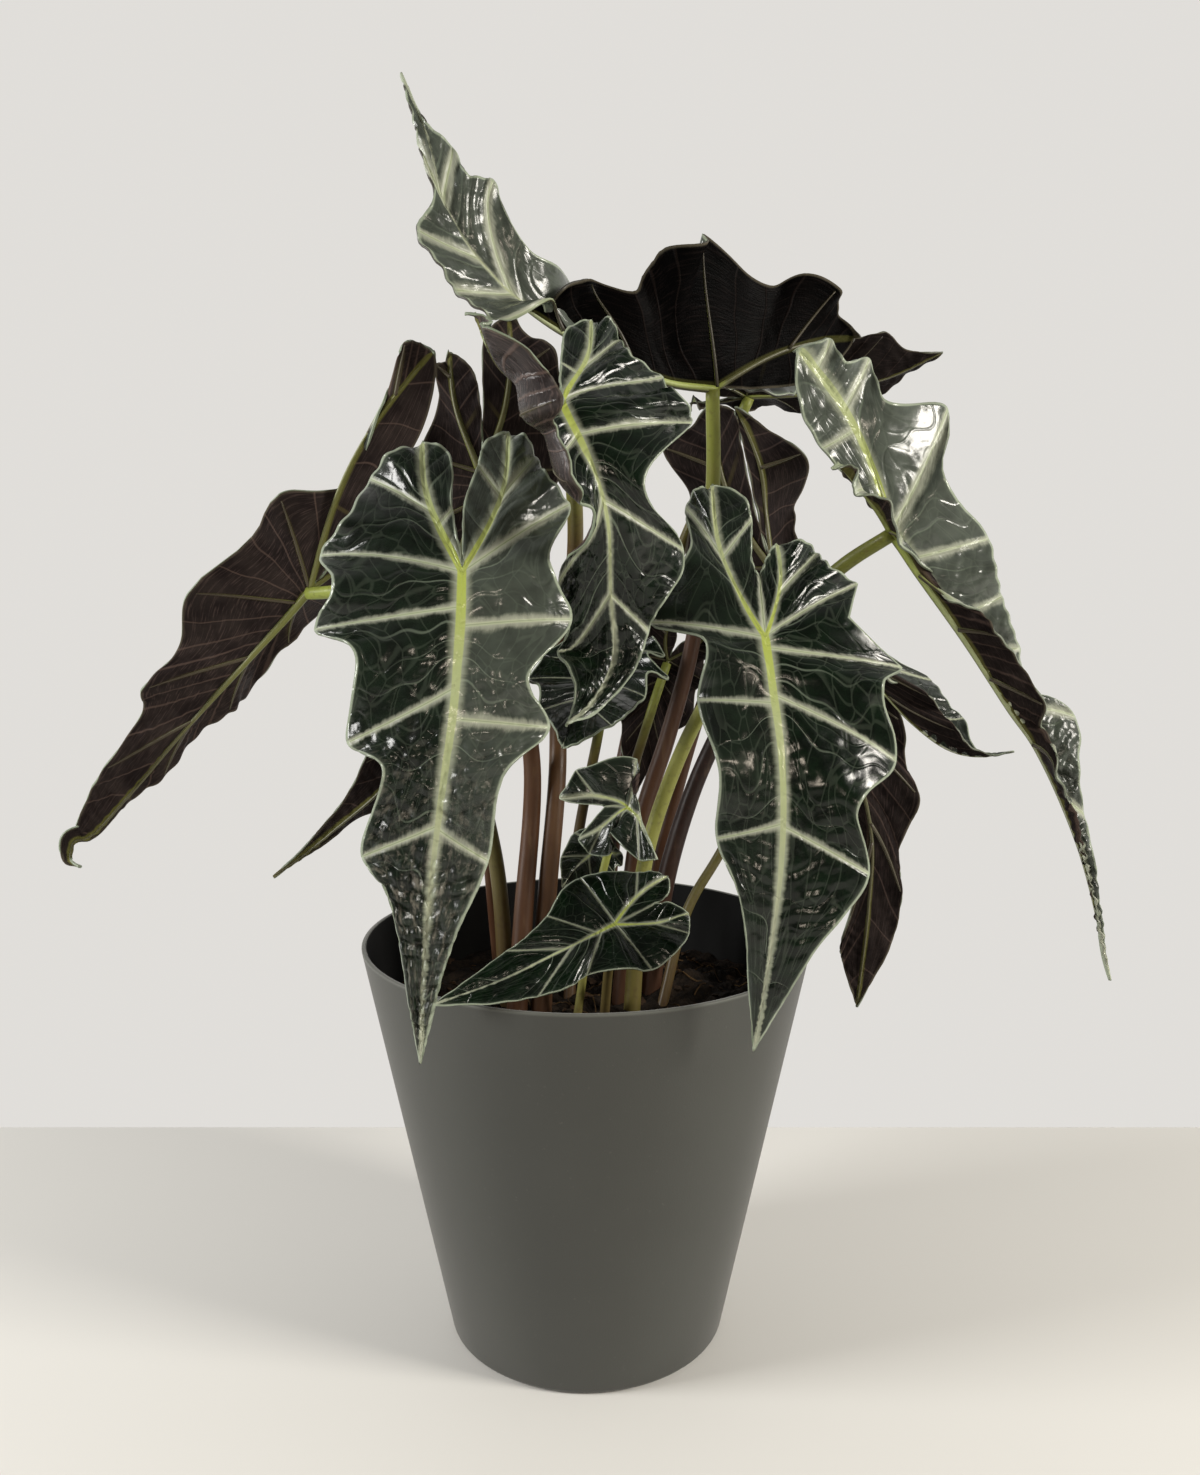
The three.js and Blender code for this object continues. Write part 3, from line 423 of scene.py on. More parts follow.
# %% Leaf records
LEAVES = (
    dict(
        name="leaf_front_left",
        back=(-49, -64, 398),
        midrib=((-43, -98, 347), (-45, -112, 303), (-51, -118, 258), (-57, -116, 208), (-60, -110, 168)),
        face=((0, 0.05, -0.85, 0.5), (1, 0, -1, 0)),
        bend=((-0.3, -8, -8, -8, -8), (0, -6, -10, -6, -10), (1, 5, -5, 5, -5)),
        left=dict(sinus=-3, inner=((2.5, -27), (2.5, -54)), lobe=(12, -60),
            veins=((-27, 34, -51, 42, -28), (0, 55, -20, 46, 3), (13, 56, 21, 37, 31),
            (42, 37, 67, 22, 73), (91, 26, 106, 15, 117))),
        right=dict(sinus=-3, inner=((1.8, -29), (8, -47), (12, -59)), lobe=(21, -64),
            veins=((-34, 32, -56, 34, -40), (0, 43, -34, 31, -4.6), (20, 41, 13, 25, 37),
            (53, 35, 52, 21, 69), (92, 19, 102, 10, 133))),
        stalk=dict(points=((-31, -13, 151), (-28, -5, 195), (-24, 2, 260), (-32, -30, 314)), foot=5.2, top=3),
    ),
    dict(
        name="leaf_front_right",
        back=(65, -52, 375),
        midrib=((67, -86, 323), (72, -100, 280), (72, -105, 244), (67, -104, 196), (64, -98, 168)),
        face=((0, 0, -0.85, 0.5), (1, 0, -1, 0)),
        bend=((-0.3, -8, -8, -8, -8), (0, -6, -10, -6, -10), (1, 5, -5, 5, -5)),
        left=dict(sinus=-25, inner=((2, -33), (0.8, -52), (2.9, -63)), lobe=(15, -70),
            veins=((-38, 26, -64, 25, -39), (0, 43, -14, 22, 0.4), (25, 28, 19, 23, 49),
            (69, 24, 76, 14, 98))),
        right=dict(sinus=-25, inner=((4, -35),), lobe=(8, -41),
            veins=((-18, 26, -41, 27, -30), (0, 41, -28, 32, -7), (4, 55, 14, 41, 23),
            (22, 45, 48, 27, 63), (70, 33, 86, 17, 112))),
        stalk=dict(points=((20, -15, 151), (25, -8, 213), (32, -6, 241), (48, -20, 285)), foot=4, top=2.8),
    ),
    dict(
        name="leaf_centre",
        back=(-10, -72, 433),
        midrib=((-7, -95, 406), (0, -99, 391), (6, -100, 376), (9, -97, 362), (10, -85, 339), (11, -79, 314),
            (2, -92, 298), (-6, -102, 293)),
        face=((-0.3, 0.2, -0.8, 0.6), (0, 0.25, -0.9, 0.3), (0.8, 0, -1, 0.1), (1, 0, -0.6, 0.8)),
        bend=((-0.22, -12, 35, 0, -10), (-0.1, -10, 100, 0, -15), (0.05, -10, 170, 0, -20),
            (0.2, -5, 200, 0, -20), (0.3, 0, 290, 0, -20), (0.44, -22, 60, -5, -20), (0.6, -10, 10, 0, -5),
            (0.8, 0, 0, 0, 0)),
        left=dict(sinus=-2, inner=((14, -4), (28, -8)), lobe=(41, -16),
            veins=((-18, 44, -6, 46, 3), (0, 47, 10, 34, 13), (13, 32, 30, 10, 41), (37, 19, 71, 16, 82),
            (74, 21, 104, 9, 119))),
        right=dict(sinus=-2, inner=((1, -20), (4.1, -39)), lobe=(14, -46),
            veins=((-20, 26, -42, 27, -27), (0, 42, -28, 44, 15), (13, 50, 20, 15, 36),
            (37, 30, 64, 18, 81), (74, 13, 91, 9, 101))),
        stalk=dict(points=((-20, -11, 151), (-18, -2, 195), (-13, 8, 255), (-13, 30, 300), (-5, 2, 350),
            (-5, -60, 391)), foot=5, top=3),
    ),
    dict(
        name="leaf_top",
        back=(92, 5, 417),
        midrib=((54, -15, 421), (32, -24, 423), (11, -32, 432), (-10, -40, 440), (-33, -50, 456),
            (-51, -54, 480), (-59, -50, 508), (-69, -42, 533)),
        face=((0, 0, -0.3, 0.95), (0.3, 0, -0.4, 0.9), (0.55, 0.3, -0.9, 0.3), (1, 0.2, -0.95, 0.2)),
        bend=((-0.3, 25, 0, 95, 5), (0.2, 25, 0, 100, 5), (0.38, 20, 0, 130, 10), (0.52, 8, 0, 20, 0),
            (1, 5, 0, 5, 0)),
        left=dict(sinus=-3, inner=((2, -20), (5, -42)), lobe=(34, -54),
            veins=((-35, 44, -40, 40, -24), (0, 54, 4, 42, 30), (38, 36, 56, 18, 96),
            (94, 21, 141, 12, 144), (136, 9, 156, 1.8, 166))),
        right=dict(sinus=-3, inner=((2, -20), (11, -49)), lobe=(30, -64),
            veins=((-35, 48, -49, 51, -34, 44, -21, 49, -1.5), (0, 57, 15, 47, 44, 36, 47, 25, 49),
            (38, 23, 67, 14, 79, 2.6, 80), (70, 17, 92, 22, 101), (94, 19, 110, 20, 119),
            (112, 16, 130, 4.3, 138), (136, 3.5, 158, 2.8, 171))),
        stalk=dict(points=((16, 4, 151), (24, 14, 228), (37, 14, 272), (47, 10, 313), (54, -2, 376)),
            foot=5, top=2.9),
    ),
    dict(
        name="leaf_right",
        back=(84, -42, 403),
        midrib=((124, -34, 362), (136, -32, 346), (157, -30, 318), (178, -27, 288), (190, -25, 272),
            (212, -22, 227), (231, -16, 167)),
        face=((0, 0.05, -0.95, 0.3), (1, 0.1, -0.95, 0.2)),
        bend=((-0.1, 75, 0, 0, 0), (0.06, 80, 0, 0, 0), (0.2, 125, 10, 0, 0), (0.42, 130, 10, 0, 0),
            (0.55, 80, 0, 0, 0), (1, 20, 0, 0, 0)),
        left=dict(sinus=-3, inner=((1, -16), (3, -30)), lobe=(9, -38),
            veins=((-22, 14, -26, 13, -14), (0, 16, 2, 0.8, 27), (22, 8, 37, 11, 50),
            (50, 15, 59, 13, 75), (75, 15, 95, 5.8, 106), (110, 17, 120, 4, 145))),
        right=dict(sinus=-3, inner=((0.8, -22), (0.8, -44), (5.7, -62)), lobe=(21, -78),
            veins=((-70, 36, -71, 31, -62), (-50, 43, -54, 33, -39), (0, 55, -16, 30, -1),
            (14, 35, 30, 26, 40), (45, 25, 52, 19, 60), (60, 19, 74, 10, 84), (90, 23, 112, 12, 129),
            (135, 8, 150, 3.7, 172))),
        stalk=dict(points=((29, 8, 151), (36, 14, 202), (47, 15, 242), (58, 12, 270), (80, 0, 316),
            (106, -20, 347)), foot=5.2, top=2.9),
    ),
    dict(
        name="leaf_left",
        back=(-54, -6, 419),
        midrib=((-123, 15, 337), (-152, 22, 307), (-185, 27, 273), (-214, 30, 241), (-234, 28, 221),
            (-240, 27, 220), (-240, 22, 212), (-233, 17, 210)),
        face=((0, -0.3, 0.85, 0.45), (1, -0.4, 0.8, 0.4)),
        bend=((-0.5, 10, 0, 10, 0), (-0.1, 25, 0, 8, 0), (0.1, 35, 0, 5, 0), (1, 20, 0, 5, 0)),
        left=dict(sinus=-4, inner=((1, -25), (3, -50)), lobe=(12, -68),
            veins=((-40, 22, -50, 20, -28), (0, 27, -4, 26, 10), (10, 11, 30, 24, 67),
            (45, 14, 75, 13, 97), (88, 8, 119, 5.2, 138))),
        right=dict(sinus=-4, inner=((1, -40), (3, -90)), lobe=(18, -118),
            veins=((-95, 30, -115, 24, -97), (-75, 22, -85, 14, -48), (0, 36, -31, 33, -4.8),
            (8, 41, 32, 26, 61), (43, 28, 84, 20, 94), (85, 18, 129, 13, 148))),
        stalk=dict(points=((-36, 0, 151), (-42, 8, 220), (-62, 6, 290), (-95, 4, 334)), foot=4.2, top=2.8),
    ),
    dict(
        name="leaf_behind_left",
        back=(-47, 34, 438),
        midrib=((-48, 28, 389), (-66, 32, 323), (-89, 38, 253), (-122, 42, 221), (-152, 45, 198)),
        face=((0, -0.1, 0.9, 0.3), (1, -0.4, 0.8, 0.4)),
        bend=((-0.3, 10, 0, 10, 0), (1, 20, 0, 10, 0)),
        left=dict(sinus=-4, inner=((0.6, -34), (2, -62)), lobe=(12, -70),
            veins=((-44, 32, -58, 38, -40), (0, 38, -6, 32, 10), (14, 36, 36, 26, 56),
            (60, 30, 86, 20, 100), (120, 16, 150, 8, 176))),
        right=dict(sinus=-4, inner=((0.6, -30), (4.1, -46)), lobe=(14, -53),
            veins=((-44, 20, -47, 20, -35), (0, 27, -4, 25, 10), (14, 28, 36, 22, 56),
            (60, 26, 86, 20, 100), (120, 16, 150, 8, 176))),
        stalk=dict(points=((-42, 36, 151), (-46, 26, 220), (-48, 16, 310)), foot=3.4, top=2.6),
    ),
    dict(
        name="leaf_back_right",
        back=(67, 46, 422),
        midrib=((86, 42, 346), (119, 58, 282), (141, 66, 216), (142, 70, 176), (138, 72, 122)),
        face=((0, 0.2, 0.9, 0.3), (1, 0.1, 1, 0)),
        bend=((-0.25, 0, 0, 0, 0), (-0.1, 55, 0, 5, 0), (0.25, 50, 0, 5, 0), (0.4, 10, 0, 5, 0),
            (1, 5, 0, 5, 0)),
        left=dict(sinus=-4, inner=((0.4, -30), (0.4, -58)), lobe=(0.6, -75),
            veins=((-46, 26, -48, 30, -28), (0, 17, -8, 23, 8), (12, 31, 34, 24, 56),
            (60, 28, 96, 24, 118), (85, 26, 133, 14, 156), (140, 16, 178, 14, 203))),
        right=dict(sinus=-4, inner=((0.4, -30), (0.4, -58), (0.4, -74)), lobe=(10, -79),
            veins=((-50, 36, -66, 30, -42), (0, 38, -10, 30, 10), (15, 36, 34, 26, 54),
            (60, 28, 84, 16, 104), (100, 17, 128, 3, 160), (150, 12, 207, 10, 216))),
        stalk=dict(points=((22, 24, 151), (34, 32, 210), (60, 34, 300)), foot=4.2, top=2.7),
    ),
    dict(
        name="leaf_behind_top",
        back=(48, 52, 423),
        midrib=((74, 56, 425), (109, 60, 427), (141, 62, 434), (167, 64, 446)),
        face=((0, 0.1, 0.6, 0.8), (1, 0, 0.6, 0.8)),
        bend=((-0.3, 10, 0, 10, 0), (1, 25, 0, 25, 0)),
        left=dict(sinus=-3, inner=((2, -16),), lobe=(12, -30),
            veins=((-18, 22, -24, 20, -12), (0, 27, 4, 22, 16), (12, 27, 45, 23, 54), (36, 23, 70, 9, 81))),
        right=dict(sinus=-3, inner=((2, -16),), lobe=(2.8, -26),
            veins=((-18, 2.9, -22, 11, -10), (0, 7, 0.7, 16, 16), (12, 12, 28, 18, 45),
            (36, 14, 69, 9, 82))),
        stalk=dict(points=((6, 44, 151), (14, 60, 235), (40, 68, 340)), foot=4, top=2.5),
    ),
    dict(
        name="leaf_low_right",
        back=(100, 28, 329),
        midrib=(
            (114, 30, 313), (133, 30, 294), (151, 31, 275), (169, 32, 262), (183, 31, 259), (198, 28, 262)),
        face=((0, 0.3, -0.7, 0.7), (1, 0.3, -0.7, 0.7)),
        bend=((-0.3, 120, 0, 10, 0), (0.6, 120, 0, 10, 0), (1, 60, 0, 10, 0)),
        left=dict(sinus=-3, inner=((2, -10),), lobe=(7, -16),
            veins=((-10, 11, -12, 12, -6), (0, 5.7, 30, 11, 38), (14, 15, 49, 12, 61),
            (36, 11, 74, 4.6, 86))),
        right=dict(sinus=-3, inner=((2, -12),), lobe=(8, -20),
            veins=((-12, 12, -14, 12, -8), (0, 15, 6, 12, 18), (12, 29, 51, 22, 63),
            (36, 21, 81, 3.6, 88))),
        stalk=dict(points=((34, -5, 151), (46, 8, 192), (61, 16, 216), (89, 24, 266)), foot=2.6, top=2),
    ),
    dict(
        name="leaf_under_centre",
        back=(17, 18, 314),
        midrib=((8, 5, 303), (-3, -22, 289), (-9, -48, 276)),
        face=((0, -0.1, -0.5, 0.85), (1, 0, -0.7, 0.7)),
        bend=((-0.3, 10, 0, 10, 0), (1, 20, 0, 20, 0)),
        left=dict(sinus=-3, inner=((2, -12),), lobe=(12, -22),
            veins=((-14, 22, -16, 20, -8), (0, 30, 4, 25, 12), (10, 26, 24, 18, 34), (26, 14, 44, 6, 54))),
        right=dict(sinus=-3, inner=((2, -12),), lobe=(12, -22),
            veins=((-14, 22, -16, 20, -8), (0, 32, 4, 27, 12), (10, 27, 23, 26, 46), (26, 18, 49, 8, 61))),
        stalk=dict(points=((-8, 10, 151), (-5, 30, 215), (6, 26, 275)), foot=3, top=2.2),
    ),
    dict(
        name="leaf_low_behind",
        back=(48, 36, 320),
        midrib=((38, 42, 303), (29, 46, 272), (21, 44, 235)),
        face=((0, 0, 0.9, 0.3), (1, 0, 0.9, 0.2)),
        bend=((-0.3, 5, 0, 5, 0), (1, 5, 0, 5, 0)),
        left=dict(sinus=-3, inner=((2, -12),), lobe=(10, -20),
            veins=((-12, 18, -14, 17, -6), (0, 22, 4, 19, 12), (10, 19, 26, 12, 36), (26, 10, 46, 5, 56))),
        right=dict(sinus=-3, inner=((2, -12),), lobe=(10, -20),
            veins=((-12, 18, -14, 17, -6), (0, 22, 4, 19, 12), (10, 19, 26, 12, 36), (26, 10, 46, 5, 56))),
        stalk=dict(points=((10, 32, 151), (14, 36, 220), (30, 34, 280)), foot=2.8, top=2.1),
    ),
    dict(
        name="leaf_small_front",
        back=(28, -66, 216),
        midrib=((12, -74, 210), (-9, -83, 202), (-32, -91, 193), (-57, -98, 186)),
        face=((0, 0, -0.75, 0.65), (1, 0, -0.75, 0.65)),
        bend=((-0.3, 0, -5, 0, -5), (1, 5, -5, 5, -5)),
        wave=1.5,
        left=dict(sinus=-17, inner=((1.2, -26),), lobe=(8, -30),
            veins=((-14, 16, -21, 21, -9), (0, 25, 1.2, 22, 12), (8, 16, 22, 11, 34),
            (22, 10, 43, 5.4, 59))),
        right=dict(sinus=-17, inner=((2, -24),), lobe=(10, -28),
            veins=((-14, 17, -24, 22, -14), (0, 23, -2.7, 19, 5.5), (6, 13, 20, 15, 28),
            (18, 12, 40, 9, 53))),
        stalk=dict(points=((8, -18, 151), (10, -34, 180), (13, -58, 200)), foot=2.4, top=1.8),
    ),
    dict(
        name="leaf_small_middle",
        back=(-9, -22, 244),
        midrib=((18, -24, 246), (25, -28, 236), (30, -34, 226)),
        face=((0, 0, -1, 0.2), (1, -0.1, -1, 0.1)),
        bend=((-0.3, 0, 0, 0, 0), (1, 10, 0, 10, 0)),
        wave=1.5,
        left=dict(sinus=-10, inner=((6, -17),), lobe=(12, -23),
            veins=((-14, 19, -20, 21, -12), (0, 19, -8, 15, 2), (5, 7, 23, 2.7, 25))),
        right=dict(sinus=-10, inner=((0.8, -13),), lobe=(6, -29),
            veins=((-14, 17, -20, 18, -13), (0, 21, -1.7, 9, -1.1), (5, 1.7, 4.9, 0.8, 14))),
        stalk=dict(points=((-4, -21, 151), (2, -18, 190), (12, -16, 232)), foot=2, top=1.6),
    ),
    dict(
        name="leaf_small_shaded",
        back=(16, 20, 221),
        midrib=((5, 15, 218), (-4, 8, 212), (-11, 2, 204)),
        face=((0, -0.2, -0.8, 0.5), (1, -0.2, -0.8, 0.5)),
        bend=((-0.3, 0, 0, 0, 0), (1, 10, 0, 10, 0)),
        wave=1,
        left=dict(sinus=-3, inner=((1, -8),), lobe=(6, -10),
            veins=((-7, 11, -8, 11, -4), (0, 14, 2, 11, 8), (5, 9, 14, 4, 20))),
        right=dict(sinus=-3, inner=((1, -8),), lobe=(6, -10),
            veins=((-7, 11, -8, 11, -4), (0, 14, 2, 11, 8), (5, 9, 14, 4, 20))),
        stalk=dict(points=((-4, 26, 151), (2, 24, 185)), foot=2, top=1.6),
    ),
)
print("leaves:", len(LEAVES))

# %% [markdown]
# No two leaves have the same age, light or side towards us. Silver is how grey the two halves look from
# above, partly their own grey tone and partly a painted sheen. Crinkle is how much a blade puckers between
# its veins, and pale how bright its veins are. The painted shade is how far the underside, rim and ribs of a
# leaf that lies in shade are painted darker. Tone is the colour of its stalk, from yellow-green at 0 over
# olive and brown to maroon at 1. Most undersides are matt, but the rolled margin of one leaf shines.

# %% Looks of each leaf
LOOKS = {
    "leaf_front_left": dict(silver=(0.05, 0.50), crinkle=1.0, tone=0.62),
    "leaf_front_right": dict(silver=(0.07, 0.0), crinkle=0.25, tone=0.05),
    "leaf_centre": dict(silver=(0.0, 0.0), crinkle=0.45, tone=0.58, dull=0.2, underside="glossy"),
    "leaf_top": dict(silver=(0.72, 0.60), crinkle=0.15, tone=0.80, dull=1.0, slot="leaf_underside"),
    "leaf_right": dict(silver=(0.62, 0.70), crinkle=0.75, tone=0.95, dull=0.55),
    "leaf_left": dict(silver=(0.30, 0.30), crinkle=0.5, tone=0.30, dull=0.15, slot="leaf_underside"),
    "leaf_behind_left": dict(silver=(0.20, 0.20), tone=0.66, dull=0.45, slot="leaf_underside"),
    "leaf_back_right": dict(silver=(0.20, 0.20), tone=0.72, dull=0.55, slot="leaf_underside"),
    "leaf_behind_top": dict(silver=(0.40, 0.40), tone=0.72, dull=0.75, slot="leaf_underside"),
    "leaf_low_right": dict(silver=(0.15, 0.15), tone=0.36, dull=0.70, slot="leaf_underside"),
    "leaf_under_centre": dict(silver=(0.0, 0.0), crinkle=0.2, tone=0.50, pale=0.5),
    "leaf_low_behind": dict(silver=(0.20, 0.20), tone=0.62, dull=0.50, slot="leaf_underside"),
    "leaf_small_front": dict(silver=(0.0, 0.0), crinkle=0.35, tone=0.45, pale=0.5),
    "leaf_small_middle": dict(silver=(0.08, 0.08), crinkle=0.3, tone=0.15, pale=0.65),
    "leaf_small_shaded": dict(silver=(0.05, 0.05), crinkle=0.2, tone=0.40, pale=0.4),
}
COMMON_LOOK = dict(crinkle=0.35, dull=0.4, pale=1.0, underside="matt", slot="leaf_upper")
for leaf in LEAVES:
    leaf["look"] = {**COMMON_LOOK, **LOOKS[leaf["name"]]}
print("leaves that show their underside:", sum(leaf["look"]["slot"] == "leaf_underside" for leaf in LEAVES))

# %% [markdown]
# The blade is laid out flat first, and every flat point then gets its place in space. Rows start at roots
# that both halves share, so the halves meet along the midrib without a crack. The numbers in LEAF are the
# habits that all blades have in common: how thick they are, and how high they wave at the rim, swell between
# the veins, pucker between the fine veins, crease and ripple, with the size of the mesh's steps.

# %% The flat blade
LEAF = dict(
    thickness=0.9, wave=4.0, quilt=2.0, pucker=0.75, crinkle=1.0, ripple=0.7,
    row_step=1.0, least_rows=12, columns=30,
)
FINE_VEINS = 4
LOBE_BOW = 0.08
VEIN_SPACING = (2, 90)
FULL_SIZE = 180


def half_outline(half, length):
    """Rim points as root, x, y and the veins passed so far, how many are on the inner side, and the reach"""
    lobe = half["lobe"]
    reach = math.hypot(*lobe)
    inner = [(0, half["sinus"]), *half["inner"]]
    count = len(inner)
    points = [(-reach * i / count, x, y, (i - count) / 2) for i, (x, y) in enumerate(inner)]
    points.append((-reach, *lobe, 0))
    before = (-reach, *lobe, *np.add(lobe, half["veins"][0][1:3]) / 2)
    for i, vein in enumerate([*half["veins"], (length, 0, length)]):
        between = np.reshape(before[3:], (-1, 2))
        spans = len(between) + 1
        for k, place in enumerate(between, start=1):
            root = before[0] + (vein[0] - before[0]) * k / spans
            points.append((root, *place, i + k / spans))
        points.append((*vein[:3], i + 1))
        before = vein
    return np.array(points, dtype=float), count, reach


def spine_points(half, roots, reach):
    share = np.clip(-roots / reach, 0, 1)
    bow = LOBE_BOW * reach * np.sin(math.pi * share)
    x = np.where(roots < 0, half["lobe"][0] * share + bow, 0)
    y = np.where(roots < 0, half["lobe"][1] * share, roots)
    return np.stack([x, y], axis=1)


def half_cells(half, length, roots, inner, shares):
    """Flat points of one side of a spine, with what the finish needs to know about each"""
    points, inner_count, reach = half_outline(half, length)
    count = len(points)
    if inner:
        places = np.interp(-roots, -points[: inner_count + 1, 0], np.arange(inner_count + 1))
    else:
        places = np.interp(roots, points[inner_count:, 0], np.arange(inner_count, count))
    rim = smooth_line(np.column_stack([points[:, 1:3], np.zeros(count)]), places)[:, :2]
    vein = np.interp(places, np.arange(count), points[:, 3])
    spine = spine_points(half, roots, reach)
    across = rim - spine
    flat = spine[:, None] + across[:, None] * shares[:, None]
    width = np.linalg.norm(across, axis=1)
    way = across / np.maximum(width, 1e-3)[:, None]
    change = np.gradient(flat, axis=0) / np.maximum(1e-3, np.abs(np.gradient(vein)))[:, None, None]
    spacing = np.abs(change[..., 0] * way[:, None, 1] - change[..., 1] * way[:, None, 0])
    return dict(
        flat=flat, w=np.broadcast_to(shares, flat.shape[:2]), vein=vein,
        width=width, spacing=np.clip(spacing, *VEIN_SPACING), inner=inner,
    )


# %% [markdown]
# In space the midrib carries a small frame from point to point: along it, out of its face, and to its side. A
# half is turned about the midrib by its fold and rolled up by its curl. On top of that lies the relief that
# gives this plant its look: the blade swells between the side veins, waves at the rim, and is puckered and
# creased between the fine veins. Sines of uneven lengths make it, so that no crease repeats.


# %% The bent blade
class Axis:
    """A leaf's middle line in space"""

    def __init__(self, leaf, samples=240):
        control = np.array([leaf["back"], *leaf["midrib"]], dtype=float)
        self.line = smooth_line(control, np.linspace(0, len(control) - 1, samples + 1))
        self.lengths = np.concatenate([[0], np.cumsum(np.linalg.norm(np.diff(self.line, axis=0), axis=1))])
        self.start = self.lengths[round(samples / (len(control) - 1))]
        self.length = self.lengths[-1] - self.start
        self.faces = [(share * self.length, *unit(np.array(way, float))) for share, *way in leaf["face"]]
        self.bends = [(share * self.length, *angles) for share, *angles in leaf["bend"]]

    def at(self, y):
        """Place, way along, way up and way to the side at y millimetres from the joint"""
        wanted = np.asarray(y) + self.start
        last = len(self.line) - 1
        index = np.clip(np.searchsorted(self.lengths, wanted), 1, last)
        share = (wanted - self.lengths[index - 1]) / (self.lengths[index] - self.lengths[index - 1])
        origin = self.line[index - 1] + (self.line[index] - self.line[index - 1]) * share[..., None]
        along = unit(self.line[np.minimum(last, index + 3)] - self.line[np.maximum(0, index - 4)])
        up = keyed(self.faces, np.asarray(y))
        up = unit(up - along * np.sum(up * along, axis=-1, keepdims=True))
        return origin, along, up, np.cross(along, up)

    def fold_and_curl(self, y, sign):
        """How far a half is turned about the midrib, and how much more per millimetre, in radians"""
        bend = np.radians(keyed(self.bends, y))
        first = 0 if sign > 0 else 2
        return bend[..., first], bend[..., first + 1] / 50


def warp(x, y):
    """How far the fine veins wander from their even places"""
    bends = 0.36 * np.sin(0.13 * x + 0.05 * y) + 0.28 * np.sin(0.19 * y - 0.11 * x + 1)
    return bends + 0.16 * np.sin(0.4 * x)


def creases(x, y, tipward, sign):
    """Creases 5 to 15 mm apart, tighter towards the tip"""
    broad = np.sin(0.62 * x + 0.31 * y + 1.7 * np.sin(0.12 * y)) * np.sin(0.57 * y - 0.24 * x + sign)
    narrow = np.sin(1.15 * y + 0.45 * x) * np.sin(0.43 * x + 2)
    tight = np.sin(1.15 * y + 0.35 * x + 1.2 * np.sin(0.33 * x + 0.11 * y))
    return broad + 0.5 * narrow + 0.6 * tight * np.clip(3 * (tipward - 0.3), 0, 1)


def relief(leaf, axis, cells, sign):
    """How far each point stands out of the smooth half, in millimetres"""
    x, y = cells["flat"][..., 0], cells["flat"][..., 1]
    w, vein = cells["w"], cells["vein"][:, None]
    tipward = y / axis.length
    size = np.clip(axis.length / 150, 0.3, 1)
    crinkle = leaf["look"]["crinkle"]
    outer = 0.0 if cells["inner"] else np.clip(1.15 - tipward, 0, 1)
    swell = LEAF["quilt"] * 4 * w * (1 - w) * np.sin(math.pi * vein) ** 2
    wave = leaf.get("wave", LEAF["wave"]) * w**3 * np.cos(2 * math.pi * vein)
    off_vein = np.clip(6 * np.abs(vein - np.round(vein)), 0, 1)
    clear = off_vein * np.clip(6 * (1 - w), 0, 1) * np.clip(8 * w, 0, 1)
    lower = np.clip(0.1 + 1.6 * tipward, 0.1, 1)
    pillow = np.sin(math.pi * (FINE_VEINS * vein + warp(x, y))) ** 2
    pillow = pillow * (0.65 + 0.35 * np.sin(17 * w + 2 * vein))
    pucker = LEAF["pucker"] * (0.25 + 0.75 * crinkle * lower) * pillow
    crease = LEAF["crinkle"] * crinkle * lower * creases(x, y, tipward, sign)
    ripple = LEAF["ripple"] * w**5 * np.sin(6.5 * math.pi * vein + 1.3 * sign)
    return outer * (swell - wave) + size * (clear * (pucker + crease) + ripple)


def bend_cells(leaf, axis, cells, sign):
    """Places in space of a half's flat points"""
    x, y = cells["flat"][..., 0], cells["flat"][..., 1]
    origin, _, up, side = axis.at(y)
    fold, curl = axis.fold_and_curl(y, sign)
    curl = curl + 1e-6
    turned = fold + curl * x
    lift = relief(leaf, axis, cells, sign)
    out = (np.sin(turned) - np.sin(fold)) / curl - lift * np.sin(turned)
    rise = (np.cos(fold) - np.cos(turned)) / curl + lift * np.cos(turned)
    return origin + side * (sign * out)[..., None] + up * rise[..., None]


# %% [markdown]
# One blade is three panels: the long front part, whose spine is the midrib, and the two back lobes, whose
# spine is their own back vein. They share the veins that start at the joint, so merging the doubles closes
# them. Solidify then gives the sheet its thickness, and puts the underside and the rim in slots of their own.


# %% Blade panels
def panel_from_sides(name, leaf, axis, first, second):
    """A panel whose columns run from the first side's rim over the spine to the second side's rim"""
    places, fields = [], []
    for (cells, sign), order in ((first, slice(None, None, -1)), (second, slice(1, None))):
        places.append(bend_cells(leaf, axis, cells, sign)[:, order])
        w, width, flat = cells["w"], cells["width"][:, None], cells["flat"]
        rows = [cells["spacing"], w * width, (1 - w) * width, sign * flat[..., 0], flat[..., 1]]
        fields.append(np.stack(rows)[:, :, order])
    spacing, middle, rim, flat_x, flat_y = np.concatenate(fields, axis=2)
    look = leaf["look"]
    size = np.clip(axis.length / FULL_SIZE, 0.45, 1)
    panel = add_panel(
        name, np.concatenate(places, axis=1) * MM,
        spacing=spacing / size, middle=middle / size, rim=rim / size,
        flat_x=flat_x, flat_y=flat_y, along=flat_y / axis.length, warp=warp(np.abs(flat_x), flat_y),
        # How grey each half looks from above: partly its own tone, partly a painted sheen
        silver=np.interp(flat_x, [-4, 4], look["silver"][::-1]),
        # How far painted shade darkens the underside, rim and ribs of a leaf in shade
        dull=look["dull"], crinkle=look["crinkle"], pale=look["pale"],
    )
    write_vein_uv(panel, first[0], second[0])
    return panel


